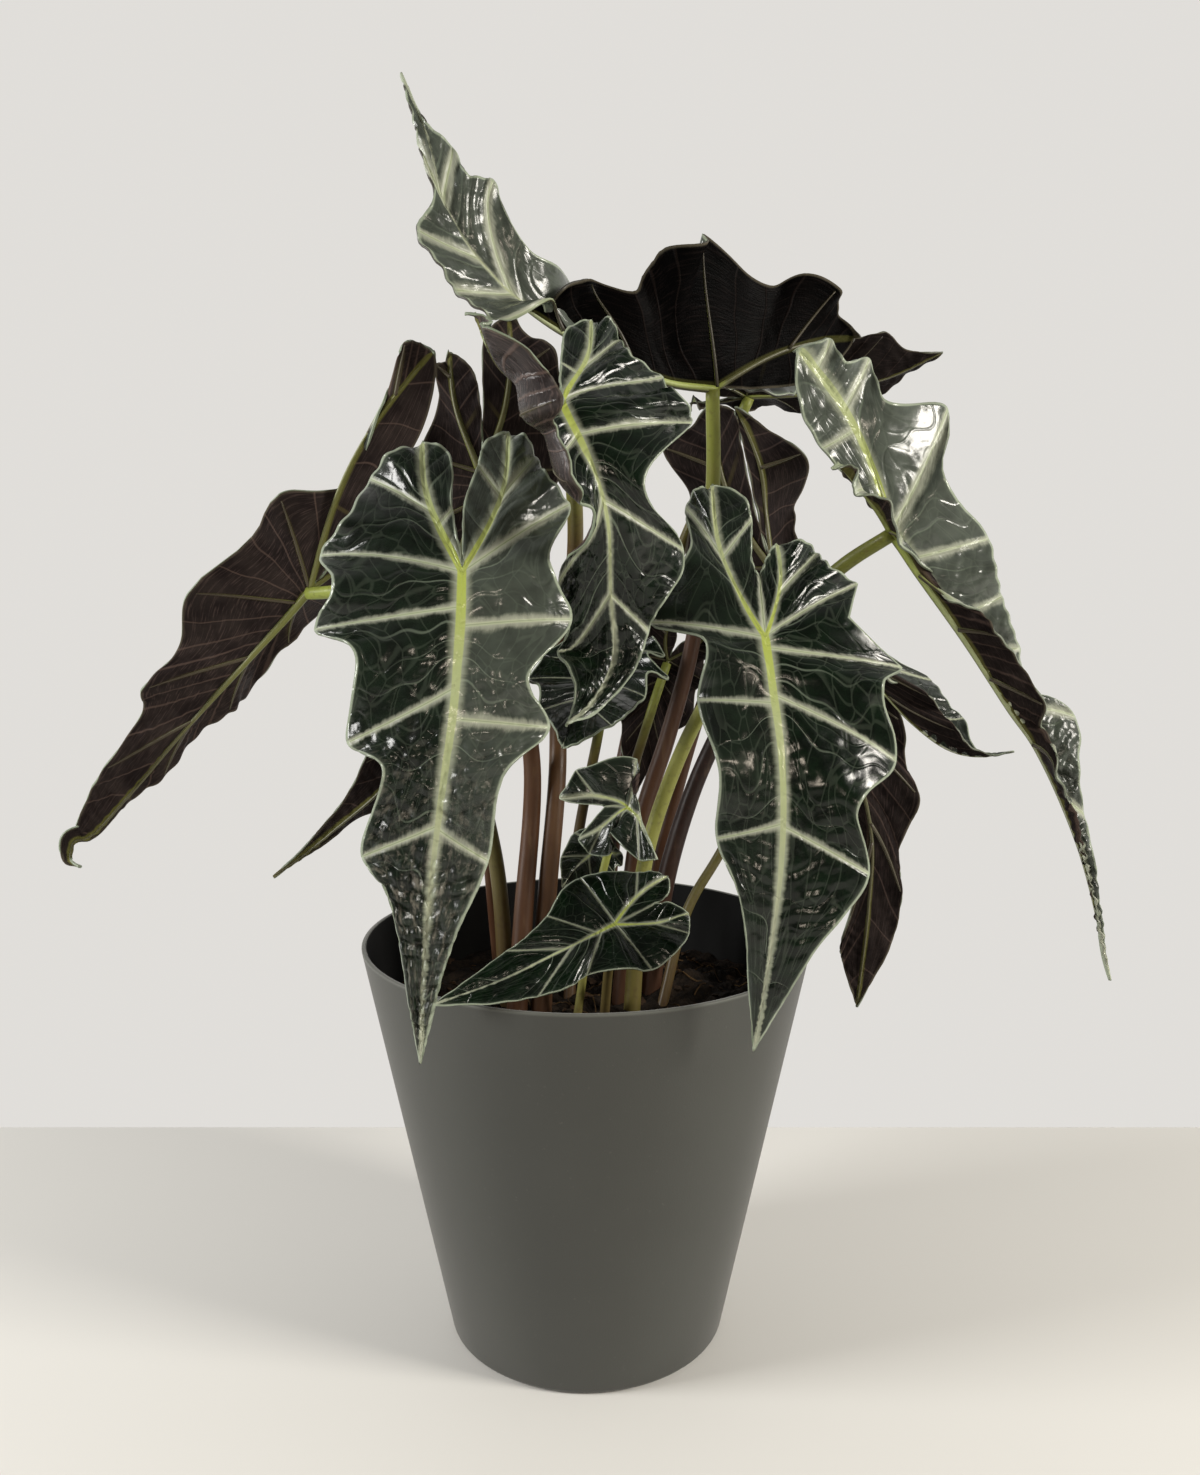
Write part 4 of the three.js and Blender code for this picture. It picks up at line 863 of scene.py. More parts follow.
def write_vein_uv(panel, first, second):
    """Each side keeps its own vein count, also on the spine that they share"""
    mesh = panel.data
    corner = np.empty(len(mesh.loops), dtype=np.int64)
    mesh.loops.foreach_get("vertex_index", corner)
    centre = first["w"].shape[1] - 1
    columns = centre + second["w"].shape[1]
    row, column = corner // columns, corner % columns
    low = np.repeat(column.reshape(-1, 4).min(axis=1), 4)
    vein = np.where(low < centre, first["vein"][row], second["vein"][row])
    w = np.abs(column - centre) / centre
    layer = mesh.uv_layers.new(name="leaf")
    layer.data.foreach_set("uv", np.column_stack([vein, w]).astype(np.float32).ravel())


def blade_roots(reach):
    """Roots at even steps from the joint outwards"""
    rows = max(LEAF["least_rows"], round(reach / LEAF["row_step"]))
    return np.linspace(0, reach, rows + 1)


def blade(leaf, axis):
    shares = np.linspace(0, 1, LEAF["columns"] + 1)

    def side(half, sign, roots, inner=False):
        return half_cells(half, axis.length, roots, inner, shares), sign

    left, right = (leaf["left"], 1), (leaf["right"], -1)
    forward = blade_roots(axis.length)
    panels = [panel_from_sides("front", leaf, axis, side(*right, forward), side(*left, forward))]
    for half, sign in (left, right):
        back = -blade_roots(math.hypot(*half["lobe"]))
        pair = [side(half, sign, back), side(half, sign, back, inner=True)]
        panels.append(panel_from_sides("lobe", leaf, axis, *(pair if sign > 0 else reversed(pair))))
    sheet = join_panels("sheet", panels)
    add_finishes(sheet, leaf)
    thickness = LEAF["thickness"] * MM
    apply_modifier(sheet, "SOLIDIFY", thickness=thickness, offset=0, material_offset=1, material_offset_rim=2)
    return sheet


# %% [markdown]
# Ribs stand out below the blade. The midrib is the stalk running on, round and bright at the joint and thin
# at the tip. It shows on both faces; the side ribs only show below. A rib could be raised from the sheet, but
# a thin tube sunk into it keeps a round back and a finish of its own. Radii go from a rib's root to its end,
# in millimetres, sink is how deep it lies in them, and kind goes from 0, bright green, to 1, brown.

# %% Ribs
RIBS = {
    "midrib": dict(radii=(2.2, 1.9, 1.5, 1.2, 0.9, 0.7, 0.5, 0.3), sink=0.55, kind=0.0),
    "lobe_rib": dict(radii=(1.7, 1.2, 0.8, 0.4), sink=0.3, kind=0.3),
    "side_rib": dict(radii=(1.0, 0.8, 0.6, 0.35), sink=0.55, kind=1.0),
}
RIB_SIDES = 8
RIB_REACH = 0.93


def surface_up(axis, x, y, sign):
    """Which way the upper face looks at flat places of a half"""
    _, _, up, side = axis.at(y)
    fold, curl = axis.fold_and_curl(y, sign)
    turned = fold + curl * x
    return up * np.cos(turned)[:, None] - side * (sign * np.sin(turned))[:, None]


def rib(kind, size, leaf, axis, half, sign, roots, shares=(0.0,)):
    """A thin tube under the blade, along the spine or through the cells at the given shares"""
    spine = len(shares) == 1
    cells = half_cells(half, axis.length, roots, False, np.array(shares))
    pick = (slice(None), 0) if spine else (len(roots) // 2, slice(None))
    path = bend_cells(leaf, axis, cells, sign)[pick]
    x, y = cells["flat"][pick].T
    up = axis.at(y)[2] if spine else surface_up(axis, x, y, sign)
    spec = RIBS[kind]
    radii = np.array(spec["radii"]) * size
    radii = np.interp(np.linspace(0, 1, len(path)), np.linspace(0, 1, len(radii)), radii)
    path = path - up * (spec["sink"] * radii + 0.25)[:, None]
    places = tube_places(path, radii, RIB_SIDES)
    ends = np.concatenate([[0], np.arange(len(path)), [len(path) - 1]])
    height = np.einsum("rcx,rx->rc", places - path[ends][:, None], up[ends]) / radii[ends][:, None]
    return add_panel(
        kind, places * MM, along=(y[ends] / axis.length)[:, None], rib_kind=spec["kind"],
        # Painted shade darkens the ribs of a leaf in shade as much as its underside
        below=np.clip(0.5 - 1.5 * height, 0, 1), dull=leaf["look"]["dull"],
    )


def ribs(leaf, axis):
    length = axis.length
    size = np.clip(length / 230, 0.35, 1)
    forward = np.linspace(-0.5, 0.99 * length, max(24, round(length / 3)))
    pieces = [rib("midrib", size, leaf, axis, leaf["left"], 1, np.maximum(forward, 0))]
    for half, sign in ((leaf["left"], 1), (leaf["right"], -1)):
        reach = math.hypot(*half["lobe"])
        back = -np.linspace(0, RIB_REACH * reach, max(10, round(reach / 3)))
        pieces.append(rib("lobe_rib", size, leaf, axis, half, sign, back))
        for root, *_ in half["veins"]:
            roots = root + np.array([-1.0, 0.0, 1.0])
            shares = np.linspace(0.0, RIB_REACH, 16)
            pieces.append(rib("side_rib", size, leaf, axis, half, sign, roots, shares))
    return pieces


# %% [markdown]
# A stalk is a tube from below the soil to the joint. Its foot is wrapped by a sheath, which shows as a wider
# body with an edge down one side. A cylinder bent by a curve would do for the tube, but the sheath's lap
# needs a radius that changes by ring and angle, and a panel can carry the height for its finish.

# %% Stalks
STALK = dict(depth=28, taper=0.7, rings=72, sides=20, sheath=0.42, lap=0.10, lap_twist=0.8)


def stalk(leaf, axis):
    spec = leaf["stalk"]
    origin, _, up, _ = axis.at(np.array([1.5]))
    points = [np.array(place, dtype=float) for place in spec["points"]]
    down = unit(points[0] - points[1])
    foot = points[0] + down * STALK["depth"] / max(0.5, -down[2])
    end = origin[0] - 0.35 * spec["top"] * up[0]
    line = even_line([foot, *points, end], STALK["rings"])
    share = np.linspace(0, 1, STALK["rings"])
    radii = spec["foot"] + (spec["top"] - spec["foot"]) * share ** STALK["taper"]
    sheath = np.clip(1 - share / STALK["sheath"], 0, 1) ** 0.5
    turn = draw.uniform(0, 6.28)

    def swelling(angles):
        lap = np.mod(angles - turn - STALK["lap_twist"] * share[:, None], 2 * math.pi) / (2 * math.pi)
        return 1 + sheath[:, None] * (STALK["lap"] * (lap - 0.5))

    places = tube_places(line, radii, STALK["sides"], swelling)
    height = np.concatenate([[0], share, [1]])
    return add_panel("stalk", places * MM, height=height[:, None], tone=leaf["look"]["tone"])


# %% [markdown]
# Both faces of a blade carry lines: veins, the fine veins between them, and the rim. A painted picture would
# blur when seen close, so each line is a distance instead, worked out from the vein count and the share
# across that every panel carries. Noise stretched along the veins frays the edges, as in the real leaf.


# %% Fields that both faces share
def vein_fields(finish, sway):
    """Distances in millimetres from the lines of the blade, and the noise that frays them"""
    count, w, _ = finish.split(finish.node("ShaderNodeUVMap", output="UV", uv_map="leaf"))
    names = ("flat_x", "flat_y", "warp", "spacing", "middle", "rim", "along")
    flat_x, flat_y, wander, spacing, middle, rim, along = finish.attributes(*names)
    near = finish.off_whole(count)
    fine = finish.times_plus(count, FINE_VEINS, finish.times(wander, sway))
    which = finish.combine(finish.math("ROUND", fine), finish.math("SIGN", flat_x))
    cell = finish.combine(finish.times(fine, 0.9), finish.times(w, 6.0))
    streak = finish.combine(finish.times(count, 4.0), finish.times(w, 20.0))
    comb = finish.combine(finish.times(middle, 0.2), flat_y)
    return SimpleNamespace(
        w=w, near=near, middle=middle, rim=rim, along=along,
        flat=finish.combine(flat_x, flat_y),
        lateral=finish.times(near, spacing),
        rung=finish.times(finish.off_whole(fine), spacing, 1 / FINE_VEINS),
        chance=finish.noise(which, 3.7, 0.0),
        mesh=finish.node("ShaderNodeTexVoronoi", {"Vector": cell, "Scale": 1.0}, feature="DISTANCE_TO_EDGE"),
        wrinkle=finish.combine(finish.times(count, 5.5), finish.times(w, 2.6)),
        feather=finish.math("SUBTRACT", finish.noise(streak, 1.0, 4.0, 0.7), 0.5),
        fringe=finish.math("SUBTRACT", finish.noise(comb, 0.45, 4.0, 0.6), 0.5),
    )


def midrib_color(finish, along):
    """Yellow-green at the joint, then paler and greyer towards the tip"""
    distance = finish.math("ABSOLUTE", along)
    color = finish.mix(finish.step(distance, 0.01, 0.24), (162, 174, 84), (162, 171, 126))
    return finish.mix(finish.step(distance, 0.25, 0.80), color, (158, 162, 142))


# %% [markdown]
# The upper face is the plant's best known side: nearly black green, glossy, with pale veins in a feathery
# halo and a thin pale rim. It is built up as a painter would: ground, a grey veil that is partly the leaf's
# own tone and partly painted sheen, painted glints on the tops of its wrinkles, faint nets and threads, the
# halos, and the cores of the veins on top. The same lines press grooves into its bump, and the puckers
# between them break the light into small glints.


# %% Upper face
def upper_finish():
    leaf = Finish("leaf upper", Specular_IOR_Level=0.30, Coat_Weight=0.08, Coat_Roughness=0.06)
    field = vein_fields(leaf, 1.0)
    silver, pale, crinkle = leaf.attributes("silver", "pale", "crinkle")
    blotch = leaf.noise(field.flat, 0.11)
    speck = leaf.noise(field.flat, 1.6)
    rough_part = leaf.times(crinkle, leaf.step(field.along, 0.25, 0.60))

    reach = leaf.times(
        leaf.times_plus(silver, 2.4, 2.7),
        leaf.step(blotch, 0.3, 0.7, 0.75, 1.2),
        leaf.step(field.w, 0.0, 1.1, 1.0, 0.62),
    )
    halo = leaf.step(leaf.times_plus(field.feather, 2.2, field.lateral), reach, 0.3)
    glow = leaf.step(leaf.times_plus(field.feather, 6.0, field.lateral), 5.0, 1.0)
    core = leaf.step(field.lateral, leaf.step(field.w, 0.0, 1.0, 1.05, 0.55), 0.3)
    groove = leaf.step(field.lateral, 0.30, 0.10)
    mid_reach = leaf.step(field.along, 0.0, 1.0, 5.2, 2.0)
    mid_halo = leaf.step(leaf.times_plus(field.fringe, 2.6, field.middle), mid_reach, 0.9)
    mid_outer = leaf.step(field.along, 0.0, 1.0, 2.1, 0.6)
    mid_core = leaf.step(field.middle, mid_outer, leaf.times(mid_outer, 0.7))
    edge = leaf.step(field.rim, 1.4, 0.6)
    edge_halo = leaf.step(leaf.times_plus(field.feather, 3.0, field.rim), 3.6, 0.6)
    thread = leaf.times(
        leaf.step(field.rung, 0.55, 0.10),
        leaf.step(field.chance, 0.40, 0.60),
        leaf.step(field.w, 0.10, 0.85, 1.0, 0.25),
        leaf.step(field.lateral, 1.0, 3.0),
    )
    net = leaf.times(leaf.step(field.mesh, 0.055, 0.01), leaf.step(field.lateral, 0.6, 2.0))
    # Grey veil over the blade: partly the leaf's own tone, partly painted sheen; weaker where the blade
    # puckers
    grey_and_sheen_haze = leaf.times(
        silver,
        leaf.step(blotch, 0.15, 0.75, 0.55, 1.0),
        leaf.times_plus(rough_part, -0.7, 1.0),
    )
    # Painted glints: pale warm marks on the tops of the wrinkles of a crinkled blade, standing for a lamp's
    # reflection
    painted_glint = leaf.times(
        leaf.step(leaf.noise(field.wrinkle, 2.2, 3.0, 0.6), 0.50, 0.70),
        leaf.step(crinkle, 0.6, 1.0),
        rough_part,
    )
    color = leaf.layers(
        leaf.mix(leaf.step(blotch, 0.3, 0.7), (3, 8, 3), (8, 22, 9)),
        # Painted sheen, mixed with the leaf's own grey tone
        (grey_and_sheen_haze, (92, 98, 90)),
        (leaf.times(leaf.step(speck, 0.45, 0.75), 0.015), (84, 96, 84)),
        # Painted glints on the tops of the wrinkles
        (leaf.times(painted_glint, 0.40), (148, 142, 130)),
        (leaf.times(net, pale, 0.07), (132, 144, 126)),
        (leaf.times(thread, 0.36), (132, 144, 126)),
        (leaf.times(edge_halo, 0.12), (112, 124, 108)),
        (leaf.times(glow, 0.03), (110, 120, 104)),
        (leaf.times(halo, pale, 0.76), (174, 178, 160)),
        (leaf.times(mid_halo, 0.72), (168, 174, 152)),
        (leaf.times(core, pale, 0.6), (172, 182, 148)),
        (leaf.times(groove, 0.40), (84, 98, 66)),
        (mid_core, midrib_color(leaf, field.along)),
        (leaf.times(edge, 0.75), (156, 166, 146)),
    )

    grain = leaf.noise(field.flat, 1.3, 4.0, 0.65)
    pucker = leaf.math("ADD", leaf.noise(field.wrinkle, 1.0, 1.5), leaf.noise(field.flat, 0.20, 1.5))
    cockle = leaf.times(crinkle, leaf.step(field.along, 0.15, 0.60, 0.25, 1.9))
    height = leaf.times_plus(grain, 0.02, leaf.times(pucker, 1.6))
    height = leaf.times_plus(height, cockle, leaf.times(grain, 0.03))
    height = leaf.times_plus(leaf.step(field.rung, 1.4, 0.0), -0.25, height)
    height = leaf.times_plus(leaf.step(field.mesh, 0.14, 0.0), -0.05, height)
    height = leaf.times_plus(leaf.step(field.lateral, 1.6, 0.2), -0.6, height)
    gloss = leaf.times_plus(halo, 0.20, leaf.step(speck, 0.3, 0.75, 0.16, 0.23))
    return leaf.wear(
        Base_Color=color,
        Roughness=leaf.times_plus(rough_part, 0.12, gloss),
        Normal=leaf.bump(height, 0.6, 0.0011),
    )


# %% [markdown]
# Below, the leaf is matt purple-brown, mottled, with fine lighter stripes across and olive veins. On a leaf
# that lies in heavy shade, painted shade turns it nearly black and fades its stripes and veins. It is much
# less shiny than the upper face. The rim is a thin pale seam round the blade; the faces that Solidify adds
# there get its colour, painted darker on a leaf in shade.


# %% Underside and rim
def under_finish(name, specular, smoothest):
    leaf = Finish(name, Specular_IOR_Level=specular)
    field = vein_fields(leaf, 0.2)
    dull = leaf.attribute("dull")
    blotch = leaf.noise(field.flat, 0.07)
    patch = leaf.step(blotch, 0.3, 0.7)
    fine = leaf.combine(leaf.times(field.near, 5.0), leaf.times(field.w, 46.0))
    stripe = leaf.noise(fine, 1.0)
    # In painted shade the stripes, threads and side veins below fade away
    mark = leaf.step(dull, 0.0, 1.0, 0.42, 0.03)
    thread = leaf.times(leaf.step(field.rung, 0.6, 0.1), leaf.step(field.near, 0.03, 0.12))
    side = leaf.times(leaf.step(field.lateral, 1.4, 0.4), leaf.step(field.w, 1.0, 0.3))
    # In painted shade the midrib below fades too
    middle = leaf.times(leaf.step(field.middle, 2.4, 1.0), leaf.step(dull, 0.0, 1.0, 0.8, 0.22))
    # The warm colours are the underside in light; the near-black ones are painted shade for a leaf in heavy
    # shade
    warm = leaf.mix(patch, (37, 31, 31), (56, 49, 47))
    painted_shade_color = leaf.mix(patch, (1, 1, 1), (4, 3, 3))
    color = leaf.layers(
        leaf.mix(dull, warm, painted_shade_color),
        (leaf.times(leaf.step(stripe, 0.48, 0.72), mark), (104, 88, 84)),
        (leaf.times(thread, mark), (112, 94, 86)),
        (leaf.times(side, mark), (100, 92, 58)),
        (middle, (112, 112, 60)),
        (leaf.times(leaf.step(field.rim, 1.4, 0.3), 0.4), (112, 106, 90)),
    )
    height = leaf.times_plus(stripe, 0.4, leaf.times(thread, 0.3))
    height = leaf.times_plus(leaf.noise(field.flat, 1.2), 0.3, height)
    return leaf.wear(
        Base_Color=color,
        Roughness=leaf.step(blotch, 0.3, 0.7, smoothest, smoothest + 0.12),
        Normal=leaf.bump(height, 0.5, 0.0010),
    )


def rim_finish():
    leaf = Finish("leaf rim", Roughness=0.45)
    flat_x, flat_y, dull = leaf.attributes("flat_x", "flat_y", "dull")
    fleck = leaf.noise(leaf.combine(flat_x, flat_y), 0.6)
    fresh = leaf.mix(fleck, (104, 118, 96), (150, 162, 138))
    # Painted shade: the rim of a leaf in shade is painted a dark grey-brown
    return leaf.wear(Base_Color=leaf.mix(dull, fresh, (62, 60, 52)))


# %% [markdown]
# A rib is yellow-green where it breaks through to the upper face, and olive to brown below; on a leaf in
# shade, painted shade darkens it below and on the lobes. A stalk goes from a brown sheathed foot over the
# colour of its age to a bright neck at the joint. The flecks and streaks on both are noise; on the stalk it
# is drawn out along the height, as the fibres in it run, and its pale streaks are partly painted highlight.


# %% Ribs and stalks
def rib_finish():
    ridge = Finish("leaf rib", Specular_IOR_Level=0.4)
    along, kind, dull, below = ridge.attributes("along", "rib_kind", "dull", "below")
    fleck = ridge.noise(ridge.position(), 700.0, 2.0)
    lower = ridge.layers(
        ridge.mix(ridge.step(along, 0.0, 0.7), (124, 128, 60), (92, 88, 56)),
        (kind, (72, 60, 48)),
        # Painted shade: below, the ribs of a leaf in shade are painted nearly black-brown
        (ridge.times(dull, 0.9), (40, 32, 28)),
    )
    color = ridge.layers(
        midrib_color(ridge, along),
        (below, lower),
        # Painted shade on the ribs of the lobes of a leaf in shade
        (ridge.times(dull, ridge.step(along, 0.0, -0.03, 0.0, 0.85)), (54, 44, 34)),
        (ridge.times(fleck, 0.2), (96, 104, 66)),
    )
    return ridge.wear(
        Base_Color=color,
        Roughness=ridge.step(fleck, 0.2, 0.8, 0.36, 0.48),
        Normal=ridge.bump(fleck, 0.25, 0.0004),
    )


def stalk_finish():
    stem = Finish("leaf stalk", Specular_IOR_Level=0.25)
    height, tone = stem.attributes("height", "tone")
    spot = stem.position()
    fibres = stem.node("ShaderNodeMapping", {"Vector": spot, "Scale": (260.0, 260.0, 22.0)})
    streak = stem.noise(fibres, 1.0, 4.0)
    fleck = stem.noise(spot, 420.0)
    shank = stem.layers(
        stem.mix(stem.step(tone, 0.0, 0.35), (126, 128, 64), (88, 82, 46)),
        (stem.step(tone, 0.35, 0.65), (76, 50, 33)),
        (stem.step(tone, 0.65, 1.0), (30, 18, 15)),
    )
    foot = stem.mix(streak, (50, 31, 22), (84, 58, 40))
    neck = stem.mix(stem.step(tone, 0.0, 1.0), (152, 164, 76), (112, 116, 52))
    color = stem.layers(
        shank,
        (stem.times(stem.step(height, STALK["sheath"], 0.16), 0.65), foot),
        (stem.step(height, 0.66, 0.96), neck),
        (stem.times(stem.step(fleck, 0.5, 0.75), 0.35), (64, 42, 36)),
        # Pale streaks along the fibres, partly painted highlight
        (stem.times(stem.step(streak, 0.55, 0.8), 0.18), (136, 114, 84)),
    )
    return stem.wear(
        Base_Color=color,
        Roughness=stem.step(streak, 0.3, 0.7, 0.36, 0.5),
        Normal=stem.bump(streak, 0.3, 0.0006),
    )


# %% [markdown]
# Every leaf wears the same five finishes in the same order, so that a face's slot says what it is: upper
# side, underside, rim, rib or stalk. What differs from leaf to leaf comes in with the values on its panels.

# %% The finishes of a leaf
upper, rim_paint, rib_paint, stalk_paint = upper_finish(), rim_finish(), rib_finish(), stalk_finish()
undersides = {
    "matt": under_finish("leaf underside", 0.02, 0.38),
    "glossy": under_finish("glossy leaf underside", 0.20, 0.16),
}
for paint in (upper, *undersides.values(), rim_paint, rib_paint, stalk_paint):
    print(paint.name, "nodes:", len(paint.node_tree.nodes))

# %% [markdown]
# Now the leaves are grown one after the other: the sheet with its thickness, its ribs and its stalk, joined
# in one piece that stands for the leaf's solid.

# %% Growing the leaves
RIB_SLOT = 3
STALK_SLOT = 4


def add_finishes(piece, leaf, slot=0):
    for material in (upper, undersides[leaf["look"]["underside"]], rim_paint, rib_paint, stalk_paint):
        piece.data.materials.append(material)
    piece.data.polygons.foreach_set("material_index", np.full(len(piece.data.polygons), slot, dtype=np.int32))


def grow(leaf):
    axis = Axis(leaf)
    sheet = blade(leaf, axis)
    rods = ribs(leaf, axis)
    for rod in rods:
        add_finishes(rod, leaf, RIB_SLOT)
    stem = stalk(leaf, axis)
    add_finishes(stem, leaf, STALK_SLOT)
    piece = join([sheet, join_panels("rods", [*rods, stem])])
    piece.name = leaf["name"] + "_grown"
    bpy.ops.object.shade_smooth()
    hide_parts(leaf["name"])
    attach(piece, "root")
    return piece


for leaf in LEAVES:
    piece = grow(leaf)
    print(piece.name, "faces:", len(piece.data.polygons))

# %% [markdown]
# The pot is one moulded cone. It starts as a cylinder: the top ring is widened, the top face is inset by the
# wall and pushed down to the floor of the inside, and the edges of lip and foot are bevelled. A lathed
# outline would give the same form, but here each step is one that can be seen and measured.

# %% The pot's shape
POT = dict(height=183, rim=100, foot=62.5, wall=2.4, floor=4, sides=160, lip_edge=1.0, foot_edge=2.6)
POT_SLOPE = (POT["rim"] - POT["foot"]) / POT["height"]


def pot_inside(z):
    """Radius inside the wall at a height, in millimetres"""
    return POT["foot"] + POT_SLOPE * z - POT["wall"]


def select_faces(piece, keep):
    bpy.ops.mesh.select_all(action="DESELECT")
    bpy.ops.object.mode_set(mode="OBJECT")
    for face in piece.data.polygons:
        face.select = keep(face)
    bpy.ops.object.mode_set(mode="EDIT")


def build_pot():
    height = POT["height"] * MM
    bpy.ops.mesh.primitive_cylinder_add(
        vertices=POT["sides"], radius=POT["foot"] * MM, depth=height, location=(0, 0, height / 2))
    pot = bpy.context.object
    pot.name = "pot_shell"
    bpy.ops.object.transform_apply(location=True, rotation=False, scale=False)
    bpy.ops.object.mode_set(mode="EDIT")
    bpy.ops.mesh.select_mode(type="FACE")
    select_faces(pot, lambda face: face.normal.z > 0.9)
    widen = POT["rim"] / POT["foot"]
    bpy.ops.transform.resize(value=(widen, widen, 1))
    bpy.ops.mesh.inset(thickness=POT["wall"] * MM)
    drop = (POT["height"] - POT["floor"]) * MM
    bpy.ops.mesh.extrude_region_move(TRANSFORM_OT_translate={"value": (0, 0, -drop)})
    shrink = pot_inside(POT["floor"]) / pot_inside(POT["height"])
    bpy.ops.transform.resize(value=(shrink, shrink, 1))
    bpy.ops.object.mode_set(mode="OBJECT")
    return pot


def bevel_edges(piece, keep, width, segments):
    bpy.ops.object.mode_set(mode="EDIT")
    bpy.ops.mesh.select_mode(type="EDGE")
    bpy.ops.mesh.select_all(action="DESELECT")
    bpy.ops.object.mode_set(mode="OBJECT")
    vertices = piece.data.vertices
    for edge in piece.data.edges:
        edge.select = all(keep(vertices[index].co) for index in edge.vertices)
    bpy.ops.object.mode_set(mode="EDIT")
    bpy.ops.mesh.bevel(offset=width * MM, segments=segments, affect="EDGES")
    bpy.ops.object.mode_set(mode="OBJECT")


pot = build_pot()
top = POT["height"] * MM
bevel_edges(pot, lambda place: place.z > top - MERGE, POT["lip_edge"], 4)
bevel_edges(pot, lambda place: place.z < MERGE, POT["foot_edge"], 5)
bpy.ops.object.shade_smooth_by_angle(angle=math.radians(40))
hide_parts("pot")
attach(pot, "root")
print("pot faces:", len(pot.data.polygons))

# %% [markdown]
# Outside, the pot wears a soft matt grey paint with a fine orange-peel grain, faint cloudy marks and a
# lighter band at the lip, partly wear and partly a painted highlight. A little sheen lifts its flanks, as a
# powdery coat does in side light. The inside is bare dark plastic: the faces on the inner side of the wall,
# and above the floor, get that finish instead.


# %% Pot finish
def pot_finish():
    shell = Finish("pot paint", Specular_IOR_Level=0.35, Sheen_Weight=0.22, Sheen_Roughness=0.4)
    spot = shell.position()
    cloud = shell.noise(spot, 9.0)
    speck = shell.noise(spot, 420.0, 4.0, 0.7)
    # A lighter band at the lip: partly wear, partly a painted highlight
    lip = shell.step(shell.split(spot)[2], (POT["height"] - 1.6) * MM, (POT["height"] - 0.3) * MM)
    color = shell.layers(
        shell.mix(shell.step(cloud, 0.3, 0.7), (60, 61, 57), (66, 67, 63)),
        (shell.times(shell.step(speck, 0.62, 0.8), 0.30), (108, 108, 101)),
        (shell.times(lip, 0.35), (122, 124, 117)),
    )
    return shell.wear(
        Base_Color=color,
        Roughness=shell.step(cloud, 0.3, 0.7, 0.52, 0.6),
        Normal=shell.bump(shell.noise(spot, 1500.0, 2.0), 0.12, 0.0004),
    )


def inside_finish():
    shell = Finish("pot inside", Specular_IOR_Level=0.08)
    spot = shell.position()
    cloud = shell.noise(spot, 14.0, 4.0)
    return shell.wear(
        Base_Color=shell.mix(shell.step(cloud, 0.3, 0.7), (12, 12, 12), (20, 20, 19)),
        Roughness=shell.step(cloud, 0.3, 0.7, 0.6, 0.7),
        Normal=shell.bump(shell.noise(spot, 1500.0, 2.0), 0.12, 0.0004),
    )


pot.data.materials.clear()
pot.data.materials.append(pot_finish())
pot.data.materials.append(inside_finish())
for face in pot.data.polygons:
    x, y, z = np.array(face.center) / MM
    in_wall = math.hypot(x, y) - pot_inside(z)
    face.material_index = int(in_wall < 0.1 * POT["wall"] and z > 0.5 * POT["floor"])
print("faces of bare plastic:", sum(face.material_index for face in pot.data.polygons))

# %% [markdown]
# The soil is a dark mix of peat, bark and fibre. Its body is a round panel that rises in small lumps, and in
# one low heap at the right. A sculpted plane would look the same, but a formula for the height also tells
# where a chip or a fibre comes to lie.

# %% Soil body
SOIL = dict(
    top=151, depth=24, rough=1.6, grain=0.35, gap=0.35,
    heap=(46, 14), spread=17, rise=8, rings=60, spokes=180,
)
SOIL_EDGE = pot_inside(SOIL["top"]) - SOIL["gap"]


def soil_top(x, y):
    lumps = np.sin(x * 0.21 + 1.3) * np.cos(y * 0.17) + 0.6 * np.sin(x * 0.43 - y * 0.38)
    grains = np.sin(1.9 * x + 0.7 * y) * np.sin(1.3 * y - 0.6 * x + 2) + np.sin(3.1 * x - 2.3 * y)
    away = (x - SOIL["heap"][0]) ** 2 + (y - SOIL["heap"][1]) ** 2
    heap = np.exp(-away / SOIL["spread"] ** 2)
    return SOIL["top"] + SOIL["rough"] * lumps + SOIL["grain"] * grains + SOIL["rise"] * heap


def build_soil():
    angles = np.linspace(0, 2 * math.pi, SOIL["spokes"] + 1)
    radii = np.concatenate([[0], np.linspace(1, SOIL_EDGE, SOIL["rings"])])
    x = radii[:, None] * np.cos(angles)
    y = radii[:, None] * np.sin(angles)
    top_rows = np.stack([x, y, soil_top(x, y)], axis=2)
    low = SOIL["top"] - SOIL["depth"]
    low_edge = pot_inside(low) - SOIL["gap"]
    low_rows = np.stack([
        np.outer([low_edge, 0], np.cos(angles)),
        np.outer([low_edge, 0], np.sin(angles)),
        np.full((2, len(angles)), low),
    ], axis=2)
    places = np.concatenate([top_rows, low_rows])[::-1, ::-1] * MM
    return join_panels("soil_fill", [add_panel("soil", places)])


soil = build_soil()
print("soil faces:", len(soil.data.polygons))

# %% [markdown]
# Loose bark chips and bent fibres lie on it. A chip is a ball of twenty faces, squeezed flat, with its
# corners pushed in and out; a fibre is a thin tube along a shallow bow. Copies of a few forms would do from
# afar, but they are so plain that each is made by itself, from the seeded draw, where no stalk stands.

# %% Bark and fibre
CHIPS = dict(count=260, reach=3.2, size=(1.2, 3.4), lift=0.4, broken=0.35)
FIBRES = dict(count=150, reach=4.0, length=(6, 16), radius=(0.18, 0.4), points=7, sides=5)


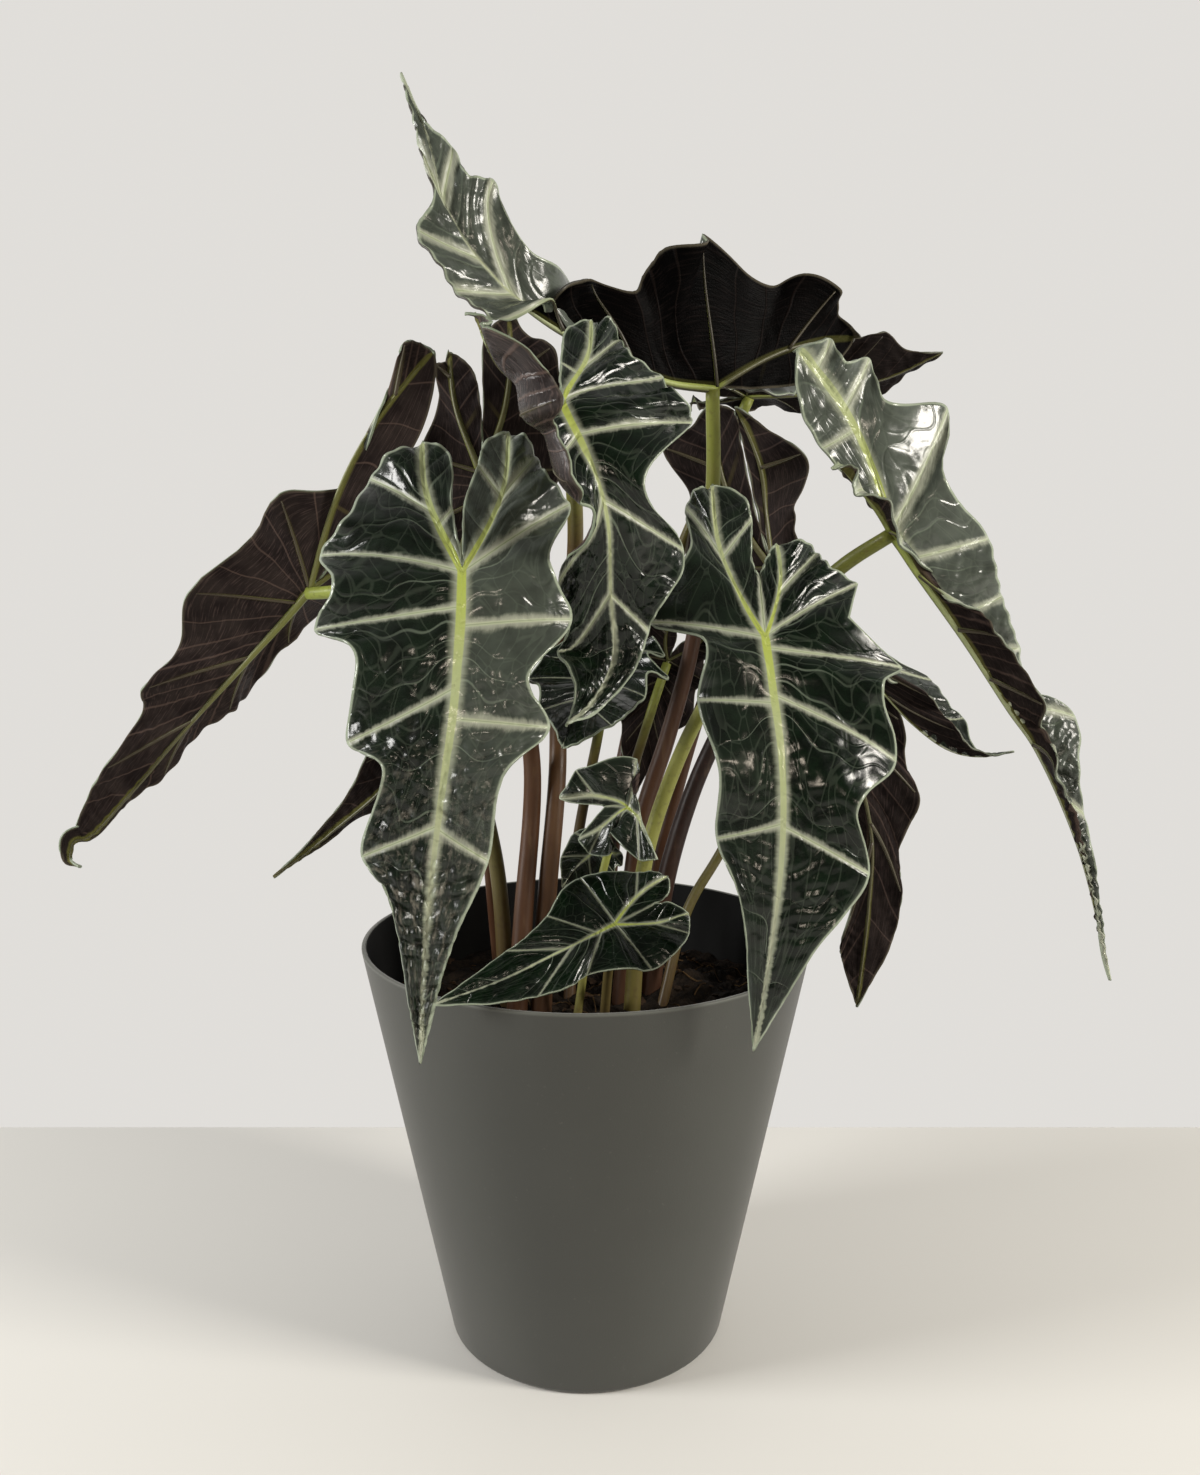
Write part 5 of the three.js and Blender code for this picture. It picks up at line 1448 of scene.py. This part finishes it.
def add_chip(place, size):
    """A flat splinter of bark with broken corners"""
    bpy.ops.mesh.primitive_ico_sphere_add(subdivisions=1, radius=1)
    chip = bpy.context.object
    stretch = np.array([draw.uniform(0.8, 1.6), draw.uniform(0.4, 0.9), draw.uniform(0.2, 0.45)]) * size
    points = np.array([vertex.co[:] for vertex in chip.data.vertices])
    points = points * (1 + CHIPS["broken"] * np.array([[draw.uniform(-1, 1)] for _ in points])) * stretch
    yaw, pitch = draw.uniform(0, 2 * math.pi), draw.uniform(-0.5, 0.5)
    turn = np.array(Matrix.Rotation(yaw, 3, "Z") @ Matrix.Rotation(pitch, 3, "Y"))
    points = points @ turn.T + place
    chip.data.vertices.foreach_set("co", (points * MM).astype(np.float32).ravel())
    return chip


def add_fibre(place, length):
    """A thin bent root or coir thread that lies on the soil"""
    yaw = draw.uniform(0, 2 * math.pi)
    bow = draw.uniform(-0.5, 0.5)
    share = np.linspace(-0.5, 0.5, FIBRES["points"])
    x = place[0] + length * (share * math.cos(yaw) - bow * share**2 * math.sin(yaw))
    y = place[1] + length * (share * math.sin(yaw) + bow * share**2 * math.cos(yaw))
    z = soil_top(x, y) + 0.3 + draw.uniform(0.1, 0.25) * length * (0.25 - share**2)
    radii = np.full(FIBRES["points"], draw.uniform(*FIBRES["radius"]))
    return add_panel("fibre", tube_places(np.stack([x, y, z], axis=1), radii, FIBRES["sides"]) * MM)


def scatter(count, reach):
    """Places on the soil that keep clear of the stalks"""
    feet = [(leaf["stalk"]["points"][0], leaf["stalk"]["foot"]) for leaf in LEAVES]
    places = []
    while len(places) < count:
        angle = draw.uniform(0, 2 * math.pi)
        radius = SOIL_EDGE * math.sqrt(draw.random()) - reach
        x, y = radius * math.cos(angle), radius * math.sin(angle)
        if radius > 0 and all(math.hypot(x - foot[0], y - foot[1]) > size + reach for foot, size in feet):
            places.append((x, y, float(soil_top(x, y))))
    return places


chips = [
    add_chip(np.array(place) + (0, 0, CHIPS["lift"]), draw.uniform(*CHIPS["size"]))
    for place in scatter(CHIPS["count"], CHIPS["reach"])
]
chips = join_panels("soil_bark", chips, merge=0.0001 * MM)
fibres = [
    add_fibre(place, draw.uniform(*FIBRES["length"]))
    for place in scatter(FIBRES["count"], FIBRES["reach"])
]
fibres = join_panels("soil_fibre", fibres, merge=0.001 * MM)
print("chips and fibres, faces:", len(chips.data.polygons), len(fibres.data.polygons))

# %% [markdown]
# Soil, bark and fibre share one kind of finish: rough, without gloss, mottled from a dark to a paler brown.
# Peat stays damp, so it is the darkest, and the fibres are dry and the palest.


# %% Soil finishes
def soil_finish(name, dark, pale, scale):
    ground = Finish(name, Specular_IOR_Level=0.12)
    spot = ground.position()
    tone = ground.noise(spot, scale, 4.0, 0.65)
    grain = ground.noise(spot, 900.0)
    return ground.wear(
        Base_Color=ground.mix(ground.step(tone, 0.3, 0.72), dark, pale),
        Roughness=ground.step(grain, 0.3, 0.7, 0.78, 0.95),
        Normal=ground.bump(grain, 0.6, 0.0008),
    )


for piece, finish in (
    (soil, soil_finish("soil", (14, 11, 9), (38, 30, 22), 160.0)),
    (chips, soil_finish("bark", (30, 22, 16), (70, 52, 36), 90.0)),
    (fibres, soil_finish("fibre", (46, 34, 22), (92, 72, 46), 60.0)),
):
    piece.data.materials.clear()
    piece.data.materials.append(finish)
    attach(piece, "root")
    print(piece.name, "wears", finish.name)
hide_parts("soil")

# %% [markdown]
# Last, the box of the dressed plant is written beside the box of its solids, so that both can be compared.

# %% Boxes and finish
boxes = {"cad": cad_box, "visual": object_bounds()}
for name, box in boxes.items():
    print(name, "box in mm:", [round((high - low) / MM, 1) for low, high in zip(*box)])
